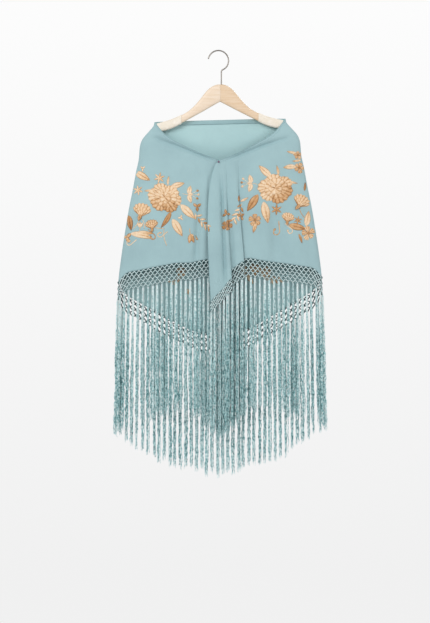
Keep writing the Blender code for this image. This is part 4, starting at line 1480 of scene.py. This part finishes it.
# %% Places of the motifs
Motif = namedtuple("Motif", "kind px py size turn tone")
FRONT_MOTIFS = (
    Motif("single_leaf", 177.5, 185.7, 15, 20, 0.04), Motif("blade", 168, 181.2, 9, 92, 0.10),
    Motif("blade", 149.5, 191, 10, 178, 0.05), Motif("blade", 167.7, 220.7, 19, 248, 0.48),
    Motif("single_leaf", 187.8, 212.3, 20, 315, 0.02), Motif("single_leaf", 177.8, 228, 20, 302, 0.06),
    Motif("peony", 165.6, 198.1, 34, 330, 0.02), Motif("bell", 190.8, 195, 16, 2, 0.03),
    Motif("sprig", 197.3, 207.3, 10, 20, 0.50), Motif("spray", 202, 221, 20, 315, 0.05),
    Motif("sprig", 181, 218.5, 6, 60, 0.05), Motif("tulip", 191.5, 236.5, 15, 292, 0.30),
    Motif("star", 159.6, 178.5, 11, 0, 0.03), Motif("star", 138.3, 190.6, 10, 20, 0.05),
    Motif("single_leaf", 142.5, 176.5, 18, 328, 0.12), Motif("carnation", 141.5, 212, 21, 85, 0.04),
    Motif("single_leaf", 130.2, 223, 16, 280, 0.52), Motif("tulip", 140.4, 226.5, 9, 90, 0.02),
    Motif("stalk", 136.5, 224.5, 11, 235, 0.10), Motif("stalk", 143.8, 224.5, 9, 280, 0.10),
    Motif("carnation", 152.2, 226, 15, 100, 0.10), Motif("blade", 142, 234.5, 23, 357, 0.03),
    Motif("blade", 144, 233, 19, 8, 0.10), Motif("curl", 152.5, 234.5, 12, 300, 0.50),
    Motif("curl", 163, 235, 11, 200, 0.10), Motif("stalk", 165.5, 238, 16, 280, 0.20),
    Motif("sprig", 127, 237.5, 12, 60, 0.40), Motif("curl", 132, 243, 11, 200, 0.05),
    Motif("sprig", 143, 169, 6, 30, 0.08), Motif("stalk", 160, 228.5, 9, 355, 0.15),
    Motif("single_leaf", 264.5, 172.5, 17, 144, 0.04), Motif("blade", 278, 171, 10, 92, 0.15),
    Motif("blade", 292.5, 183.5, 9, 335, 0.12), Motif("single_leaf", 252.5, 203.5, 20, 237, 0.40),
    Motif("single_leaf", 265.5, 213, 22, 282, 0.08), Motif("peony", 275.2, 189, 35, 12, 0.03),
    Motif("bell", 249.2, 184, 16, 178, 0.03), Motif("blade", 238.7, 199, 7, 90, 0.52),
    Motif("blade", 244.3, 200.3, 9, 22, 0.06), Motif("spray", 236.5, 213, 21, 240, 0.04),
    Motif("sprig", 240.5, 217, 9, 45, 0.50), Motif("sprig", 226, 214.5, 9, 100, 0.45),
    Motif("bloom", 226.8, 226, 11, 60, 0.36), Motif("bloom", 255, 220.5, 13, 85, 0.16),
    Motif("single_leaf", 254.5, 228.5, 10, 260, 0.22), Motif("star", 276.2, 210, 11, 10, 0.36),
    Motif("carnation", 300.5, 203, 20, 62, 0.05), Motif("stalk", 301.5, 213.5, 10, 300, 0.42),
    Motif("carnation", 287, 219, 15, 80, 0.06), Motif("curl", 278, 229, 15, 255, 0.35),
    Motif("curl", 289, 228.5, 12, 300, 0.03), Motif("single_leaf", 297, 227.5, 18, 345, 0.38),
    Motif("single_leaf", 307.3, 219, 16, 80, 0.05), Motif("star", 297.5, 220.7, 8, 0, 0.30),
    Motif("bloom", 308, 233.5, 14, 20, 0.05), Motif("blade", 300.7, 238.6, 10, 300, 0.50),
    Motif("blade", 291.5, 153.2, 10, 178, 0.10), Motif("bloom", 297.6, 155.5, 9, 80, 0.10),
    Motif("blade", 296.5, 161.5, 9, 195, 0.10), Motif("single_leaf", 289.5, 167, 13, 178, 0.05),
    Motif("bloom", 299, 168, 11, 200, 0.14), Motif("blade", 305, 187, 9, 80, 0.55),
)
BACK_MOTIFS = (
    Motif("peony", 220, 222, 42, 0, 0.02), Motif("peony", 186, 250, 32, 0, 0.05),
    Motif("peony", 256, 252, 32, 0, 0.04), Motif("carnation", 220, 262, 24, 268, 0.06),
    Motif("carnation", 164, 216, 24, 140, 0.05), Motif("carnation", 277, 216, 24, 40, 0.05),
    Motif("single_leaf", 244, 212, 20, 20, 0.06), Motif("single_leaf", 196, 212, 20, 160, 0.06),
    Motif("blade", 246, 232, 20, 335, 0.50), Motif("blade", 193, 231, 20, 205, 0.50),
    Motif("single_leaf", 204, 244, 18, 240, 0.08), Motif("single_leaf", 237, 244, 18, 300, 0.08),
    Motif("spray", 220, 192, 22, 90, 0.12), Motif("bell", 200, 194, 16, 120, 0.06),
    Motif("bell", 241, 194, 16, 60, 0.06), Motif("spray", 166, 238, 24, 200, 0.14),
    Motif("spray", 277, 238, 24, 340, 0.14), Motif("bloom", 146, 232, 14, 0, 0.08),
    Motif("bloom", 296, 232, 14, 30, 0.10), Motif("tulip", 205, 278, 15, 250, 0.22),
    Motif("tulip", 236, 279, 15, 292, 0.22), Motif("spray", 220, 292, 22, 270, 0.12),
    Motif("bloom", 190, 274, 14, 15, 0.10), Motif("bloom", 252, 276, 14, 5, 0.12),
    Motif("star", 178, 196, 11, 0, 0.06), Motif("star", 262, 196, 11, 20, 0.06),
    Motif("star", 150, 256, 11, 0, 0.10), Motif("star", 292, 256, 11, 0, 0.10),
    Motif("curl", 160, 262, 16, 200, 0.10), Motif("curl", 282, 262, 16, 330, 0.10),
    Motif("sprig", 176, 284, 9, 40, 0.50), Motif("sprig", 266, 286, 9, 0, 0.50),
    Motif("blade", 214, 311, 16, 262, 0.45), Motif("sprig", 228, 306, 8, 10, 0.12),
    Motif("blade", 138, 214, 16, 150, 0.30), Motif("blade", 303, 214, 16, 30, 0.30),
)
INSIDE_MOTIFS = (
    Motif("bloom", 181, 271, 11, 10, 0.02), Motif("spray", 176, 279, 13, 210, 0.02),
    Motif("sprig", 188, 291, 7, 40, 0.06), Motif("tulip", 246, 269, 14, 200, 0.02),
    Motif("carnation", 255, 270, 16, 80, 0.02), Motif("bloom", 266, 272, 13, 0, 0.02),
    Motif("spray", 272, 278, 18, 350, 0.02), Motif("single_leaf", 250, 279, 12, 300, 0.02),
)

print("motifs:", len(FRONT_MOTIFS), len(BACK_MOTIFS), len(INSIDE_MOTIFS))

# %% [markdown]
# ## Embroidery: sewn onto the cloth
#
# A flat bouquet has to follow the folds. Each point is dropped straight onto the cloth with a ray,
# then lifted along the cloth's own slope, so the silk lies on the surface from every side. A face
# that would stretch over a fold's edge is left out, and every shape gets a turned-down rim.

# %% Sew the motifs on
LONGEST_STEP = 0.0060
RAY_START = 0.3
EMBROIDERY_SEED = 7


def cloth_tree():
    mesh = cloth.data
    return BVHTree.FromPolygons([v.co.copy() for v in mesh.vertices],
                                [tuple(p.vertices) for p in mesh.polygons])


surface = cloth_tree()


def with_rim(shape):
    """The grids with one more ring round them, whose points lie below the cloth."""
    def padded(grid):
        rows = [[row[0], *row, row[-1]] for row in grid]
        return [rows[0], *rows, rows[-1]]
    points = [list(row) for row in padded(shape.points)]
    last_row, last_column = len(points) - 1, len(points[0]) - 1
    for i, row in enumerate(points):
        for j, (x, z, _) in enumerate(row):
            if i in (0, last_row) or j in (0, last_column):
                row[j] = (x, z, SILK_UNDER)
    return Shape(points, padded(shape.tones), padded(shape.threads))


def sew(name, motifs, from_behind, material):
    """All shapes of a table of motifs, laid on the cloth as one mesh piece."""
    chance = random.Random(EMBROIDERY_SEED)
    heading = Vector((0, -1, 0)) if from_behind else Vector((0, 1, 0))
    form = bmesh.new()
    tone_layer = form.verts.layers.float.new("tone")
    thread_layer = form.loops.layers.uv.new("threads")
    for motif in motifs:
        middle = from_pixel(motif.px, motif.py)
        shapes = MAKERS[motif.kind](motif.size * PIXEL, motif.tone, chance)
        for shape in shapes:
            lay_shape(form, turned(shape, motif.turn, middle), heading, tone_layer, thread_layer)
    piece = add_piece(name, mesh_from(form, name), material)
    return piece


def lay_shape(form, shape, heading, tone_layer, thread_layer):
    shape = with_rim(shape)
    verts = []
    for line, tones in zip(shape.points, shape.tones):
        laid = []
        for (x, z, lift), tone in zip(line, tones):
            start = Vector((x, -RAY_START * heading.y, z))
            spot, normal, _, _ = surface.ray_cast(start, heading)
            if spot is None:
                laid.append(None)
                continue
            if normal.dot(heading) > 0:
                normal.negate()
            vert = form.verts.new(spot + normal * lift)
            vert[tone_layer] = tone
            laid.append(vert)
        verts.append(laid)
    for i in range(len(verts) - 1):
        for j in range(len(verts[i]) - 1):
            spots = ((i, j), (i + 1, j), (i + 1, j + 1), (i, j + 1))
            corners = [verts[a][b] for a, b in spots]
            if None in corners:
                continue
            if max((a.co - b.co).length for a in corners for b in corners) > LONGEST_STEP:
                continue
            face = form.faces.new(corners)
            for loop, (a, b) in zip(face.loops, spots):
                loop[thread_layer].uv = shape.threads[a][b]
            face.normal_update()
            if face.normal.dot(heading) > 0:
                face.normal_flip()


def silk_material():
    made, tree, shader = new_material("embroidery_silk", Roughness=0.42, Sheen_Weight=0.2,
                                      Sheen_Roughness=0.3)
    tone = add_node(tree, "ShaderNodeAttribute", attribute_name="tone").outputs["Fac"]
    laid = add_node(tree, "ShaderNodeUVMap", uv_map="threads").outputs["UV"]
    where = add_node(tree, "ShaderNodeTexCoord").outputs["Object"]
    uneven = add_node(tree, "ShaderNodeTexNoise", {"Vector": where, "Scale": 210.0, "Detail": 2.0})
    total = math_node(tree, "ADD", tone, math_node(
        tree, "MULTIPLY", math_node(tree, "SUBTRACT", uneven.outputs["Fac"], 0.5), 0.5))
    ramp = add_node(tree, "ShaderNodeValToRGB", {"Fac": total})
    tones = ramp.color_ramp.elements
    tones[0].position, tones[0].color = 0.0, colour("F8E2C6")
    tones[1].position, tones[1].color = 1.0, colour("7C5029")
    for position, code in ((0.25, "EFCBA2"), (0.5, "CE9C68"), (0.75, "AC7643")):
        tones.new(position).color = colour(code)
    stripes = place_group(tree, threads, {"Vector": laid, "Scale": 330.0, "Unevenness": 0.6})
    tree.links.new(ramp.outputs["Color"], shader.inputs["Base Color"])
    add_bump(tree, shader, stripes, 0.6, 0.0003)
    return made


silk = silk_material()
embroidery_front = sew("embroidery_front", FRONT_MOTIFS + INSIDE_MOTIFS, False, silk)
embroidery_back = sew("embroidery_back", BACK_MOTIFS, True, silk)
print("embroidery faces:", len(embroidery_front.data.polygons), len(embroidery_back.data.polygons))

# %% [markdown]
# ## The hanger
#
# Two flat hardwood arms are glued at the middle. Each arm is a loft through rounded sections at even
# steps, read from a table whose rows lie close together where it bends. The wood is pale and fine
# grained, and the grain runs along the arm, so the pattern is turned with it. A ribbed sleeve on each
# end stops cloth from sliding.

# %% Hanger sizes
ArmRow = namedtuple("ArmRow", "reach top bottom thickness")
ARM_ROWS = (
    ArmRow(0.000, -0.0862, -0.1312, 0.0125),
    ArmRow(0.011, -0.0875, -0.1372, 0.0125),
    ArmRow(0.022, -0.0922, -0.1432, 0.0125),
    ArmRow(0.032, -0.1000, -0.1487, 0.0125),
    ArmRow(0.042, -0.1112, -0.1542, 0.0122),
    ArmRow(0.053, -0.1252, -0.1600, 0.0120),
    ArmRow(0.065, -0.1388, -0.1662, 0.0118),
    ArmRow(0.080, -0.1522, -0.1743, 0.0115),
    ArmRow(0.098, -0.1628, -0.1835, 0.0112),
    ArmRow(0.120, -0.1730, -0.1940, 0.0108),
    ArmRow(0.142, -0.1800, -0.2010, 0.0098),
    ArmRow(0.156, -0.1835, -0.2030, 0.0078),
    ArmRow(0.1655, -0.1865, -0.2005, 0.0044),
    ArmRow(0.1695, -0.1890, -0.1965, 0.0018),
)
ARM_TIP = ARM_ROWS[-1].reach
ARM_JOINT = 0.00025
ARM_SIDES = 28
ARM_STEPS = 60
ARM_SQUARENESS = 0.62
PAD_START = 0.100
PAD_FIT = 0.0003
PAD_WALL = 0.0010
PAD_RIB = 0.0007
PAD_RIBS = 17
PAD_STEPS = 102
print("arm sections:", len(ARM_ROWS))


# %% Wood
def wood_material(name, light, dark, slope):
    made, tree, shader = new_material(name, Roughness=0.48, Coat_Weight=0.12, Coat_Roughness=0.35)
    where = add_node(tree, "ShaderNodeTexCoord").outputs["Object"]
    turned_wood = add_node(tree, "ShaderNodeMapping", {
        "Vector": where, "Rotation": (0.0, math.radians(slope), 0.0), "Scale": (6.0, 60.0, 60.0)})
    grain = add_node(tree, "ShaderNodeTexNoise", {
        "Vector": turned_wood.outputs["Vector"], "Scale": 3.0, "Detail": 6.0, "Distortion": 0.6})
    spread = add_node(tree, "ShaderNodeMapRange", {
        "Value": grain.outputs["Fac"], "From Min": 0.3, "From Max": 0.7})
    mix = add_node(tree, "ShaderNodeMix", {
        0: spread.outputs["Result"], 6: colour(dark), 7: colour(light)}, data_type="RGBA")
    tree.links.new(mix.outputs[2], shader.inputs["Base Color"])
    add_bump(tree, shader, grain.outputs["Fac"], 0.12, 0.0004)
    return made


ARM_SLOPE = 32
# painted light: the left arm takes a lighter copy and the right arm a darker copy of one wood, for the left
# arm catching more of the light
lit_wood_left = wood_material("pale_lit_wood_left", "EFDDC9", "E6CFB4", -ARM_SLOPE)
shaded_wood_right = wood_material("pale_shaded_wood_right", "E8D0B5", "DDBF9C", ARM_SLOPE)
print("materials:", lit_wood_left.name, shaded_wood_right.name)


# %% Arms and sleeves
def arm_section(side, reach, grow, at):
    """A rounded section of an arm, grown all round and placed at its own distance from the middle."""
    row = read_table(ARM_ROWS, "reach", reach)
    middle = (row.top + row.bottom) / 2
    tall = (row.top - row.bottom) / 2 + grow
    deep = row.thickness / 2 + grow
    points = []
    for k in range(ARM_SIDES):
        angle = 2 * math.pi * (k + 0.5) / ARM_SIDES
        up = math.copysign(abs(math.sin(angle)) ** ARM_SQUARENESS, math.sin(angle))
        out = math.copysign(abs(math.cos(angle)) ** ARM_SQUARENESS, math.cos(angle))
        points.append(place(side * at, deep * out, middle + tall * up))
    return points


def loft_piece(name, sections, material):
    """A closed skin through sections with equal numbers of points."""
    form = bmesh.new()
    rings = [[form.verts.new(point) for point in section] for section in sections]
    for first, second in zip(rings, rings[1:]):
        for i in range(len(first)):
            j = (i + 1) % len(first)
            form.faces.new((first[i], first[j], second[j], second[i]))
    form.faces.new(rings[0])
    form.faces.new(rings[-1])
    bmesh.ops.recalc_face_normals(form, faces=form.faces)
    mesh = mesh_from(form, name)
    mesh.set_sharp_from_angle(angle=math.radians(60))
    return add_piece(name, mesh, material)


def make_arm(side, name, material):
    reaches = [ARM_JOINT + (ARM_TIP - ARM_JOINT) * k / ARM_STEPS for k in range(ARM_STEPS + 1)]
    sections = [arm_section(side, reach, 0.0, reach) for reach in reaches]
    end = arm_section(side, ARM_JOINT, -0.0008, ARM_JOINT - 0.0001)
    return loft_piece(name, [end, *sections], material)


def make_pad(side, name, material):
    """A ribbed sleeve over the end of an arm."""
    inner, outer = [], []
    for k in range(PAD_STEPS + 1):
        share = k / PAD_STEPS
        reach = lerp(PAD_START, ARM_TIP, share)
        rib = PAD_RIB * abs(math.sin(math.pi * PAD_RIBS * share)) * (1 - smooth_step(0.9, 1.0, share))
        outer.append(arm_section(side, reach, PAD_FIT + PAD_WALL + rib, reach))
        inner.append(arm_section(side, reach, PAD_FIT, reach))
    outer.append(arm_section(side, ARM_TIP, 0.4 * PAD_WALL, ARM_TIP + PAD_WALL))
    return loft_piece(name, [inner[0], *outer], material)


def pad_material():
    made, tree, shader = new_material("ribbed_pad", Roughness=0.75, Sheen_Weight=0.2)
    where = add_node(tree, "ShaderNodeTexCoord").outputs["Object"]
    tint = place_group(tree, mottle, {
        "Vector": where, "Light": colour("F5EDE1"), "Dark": colour("E9DECC"), "Scale": 60.0})
    pores = add_node(tree, "ShaderNodeTexNoise", {"Vector": where, "Scale": 1400.0, "Detail": 2.0})
    tree.links.new(tint, shader.inputs["Base Color"])
    add_bump(tree, shader, pores.outputs["Fac"], 0.3, 0.0003)
    return made


ribbed = pad_material()
arm_left = make_arm(-1, "wooden_arm_left", lit_wood_left)
arm_right = make_arm(1, "wooden_arm_right", shaded_wood_right)
sleeve_left = make_pad(-1, "ribbed_sleeve_left", ribbed)
sleeve_right = make_pad(1, "ribbed_sleeve_right", ribbed)
print("sleeve faces:", len(sleeve_left.data.polygons))

# %% [markdown]
# ## Hook and pin
#
# The hook is plated steel wire, bent round a mandrel: a circle, a reverse bend and a straight stem
# pressed into the wood. It is a curve with a bevel and a rounded end. The pin that holds the fronts
# together shows only its small glass head.

# %% Hook and pin
HOOK_RADIUS = 0.0265
WIRE_RADIUS = 0.00175
HOOK_CENTRE_X = -0.0042
HOOK_TIP_ANGLE = 167
HOOK_NECK_ANGLE = -42
HOOK_STEPS = 60
NECK_STEPS = 20
NECK_PULL = 0.45
STEM_X = 0.0036
STEM_TOP = -0.0545
STEM_DEPTH = 0.0177
TIP_STEPS = 6


def hook_points():
    """The middle of the wire: from its tip over the top, round the neck and down the stem."""
    centre = Vector((HOOK_CENTRE_X, 0, WIRE_RADIUS - HOOK_RADIUS))
    points = []
    for k in range(HOOK_STEPS + 1):
        angle = math.radians(lerp(HOOK_TIP_ANGLE, HOOK_NECK_ANGLE, k / HOOK_STEPS))
        points.append(centre + HOOK_RADIUS * Vector((math.cos(angle), 0, math.sin(angle))))
    start, end = points[-1], Vector((STEM_X, 0, STEM_TOP))
    heading = (points[-1] - points[-2]).normalized()
    reach = (end - start).length * NECK_PULL
    first, second = start + heading * reach, end + Vector((0, 0, reach))
    for k in range(1, NECK_STEPS + 1):
        s = k / NECK_STEPS
        rest = 1 - s
        points.append(rest**3 * start + 3 * rest**2 * s * first + 3 * rest * s**2 * second + s**3 * end)
    foot = read_table(ARM_ROWS, "reach", STEM_X).top - STEM_DEPTH
    points.append(Vector((STEM_X, 0, foot)))
    return points


def hook_piece(name, material):
    """The wire as a bevelled curve whose radius closes in a half ball at the tip."""
    points = hook_points()
    backward = (points[0] - points[1]).normalized()
    tip, radii = [], []
    for k in range(TIP_STEPS):
        angle = math.pi / 2 * (1 - k / TIP_STEPS)
        tip.append(points[0] + backward * WIRE_RADIUS * math.sin(angle))
        radii.append(max(0.03, math.cos(angle)))
    line = bpy.data.curves.new(name, "CURVE")
    line.dimensions = "3D"
    line.bevel_depth = WIRE_RADIUS
    line.bevel_resolution = 5
    line.use_fill_caps = True
    spline = line.splines.new("POLY")
    spline.points.add(len(tip) + len(points) - 1)
    for spot, point, radius in zip(spline.points, tip + points, radii + [1.0] * len(points)):
        spot.co = (*point, 1.0)
        spot.radius = radius
    line.materials.append(material)
    piece = bpy.data.objects.new(name, line)
    bpy.context.scene.collection.objects.link(piece)
    made = make_plain(piece)
    made.data.shade_smooth()
    return made


def steel_material():
    made, tree, shader = new_material("hook_steel", Metallic=1.0)
    where = add_node(tree, "ShaderNodeTexCoord").outputs["Object"]
    tint = place_group(tree, mottle, {
        "Vector": where, "Light": colour("9C968F"), "Dark": colour("8F8983"), "Scale": 90.0})
    scuffs = add_node(tree, "ShaderNodeTexNoise", {"Vector": where, "Scale": 420.0, "Detail": 3.0})
    rough = add_node(tree, "ShaderNodeMapRange", {
        "Value": scuffs.outputs["Fac"], "To Min": 0.30, "To Max": 0.46})
    tree.links.new(tint, shader.inputs["Base Color"])
    tree.links.new(rough.outputs["Result"], shader.inputs["Roughness"])
    return made


def glass_head_material():
    made, tree, shader = new_material("pin_enamel", Roughness=0.12, Coat_Weight=0.8)
    where = add_node(tree, "ShaderNodeTexCoord").outputs["Object"]
    tint = place_group(tree, mottle, {
        "Vector": where, "Light": colour("7A3F6C"), "Dark": colour("4E2342"), "Scale": 500.0})
    tree.links.new(tint, shader.inputs["Base Color"])
    return made


def pin_piece(name, material):
    low, high = (Vector(corner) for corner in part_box("pin_head"))
    form = bmesh.new()
    bmesh.ops.create_uvsphere(form, u_segments=32, v_segments=20, radius=(high.z - low.z) / 2)
    bmesh.ops.translate(form, verts=form.verts, vec=(low + high) / 2)
    return add_piece(name, mesh_from(form, name), material)


hook = hook_piece("wire_hook", steel_material())
pin = pin_piece("glass_pin_head", glass_head_material())
print("hook faces:", len(hook.data.polygons))

# %% [markdown]
# ## One body
#
# Everything here is cloth or rests on cloth, so all pieces ride on the one body. Each row names a
# piece, a finish and the solids that it stands for, and those solids are hidden. The net, fringe and
# embroidery go with the shawl.

# %% One body
Part = namedtuple("Part", "piece finish stands_for")
PARTS = [
    Part(cloth, "crepe", ["shawl_" + stretch for stretch in STRETCHES]),
    Part(neck_band, "crepe", ["neck_hem"]),
    Part(rolled_hem, "crepe", []),
    Part(stitches, "crepe", []),
    Part(embroidery_front, "crepe", []),
    Part(embroidery_back, "crepe", []),
    *[Part(nets[stretch], "fringe_cord", ["net_" + stretch]) for stretch in STRETCHES],
    *[Part(fringes[stretch], "fringe_cord", ["fringe_" + stretch]) for stretch in STRETCHES],
    Part(arm_left, "pale_wood", ["hanger_arm_left"]),
    Part(arm_right, "pale_wood", ["hanger_arm_right"]),
    Part(sleeve_left, "pad_felt", ["pad_left"]),
    Part(sleeve_right, "pad_felt", ["pad_right"]),
    Part(hook, "hook_steel", ["hanger_hook"]),
    Part(pin, "pin_enamel", ["pin_head"]),
]

for part in PARTS:
    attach(part.piece, "root")
    if part.stands_for:
        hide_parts(*part.stands_for)
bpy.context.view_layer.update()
triangles = sum(len(p.vertices) - 2 for part in PARTS for p in part.piece.data.polygons)
print("triangles in all:", triangles)
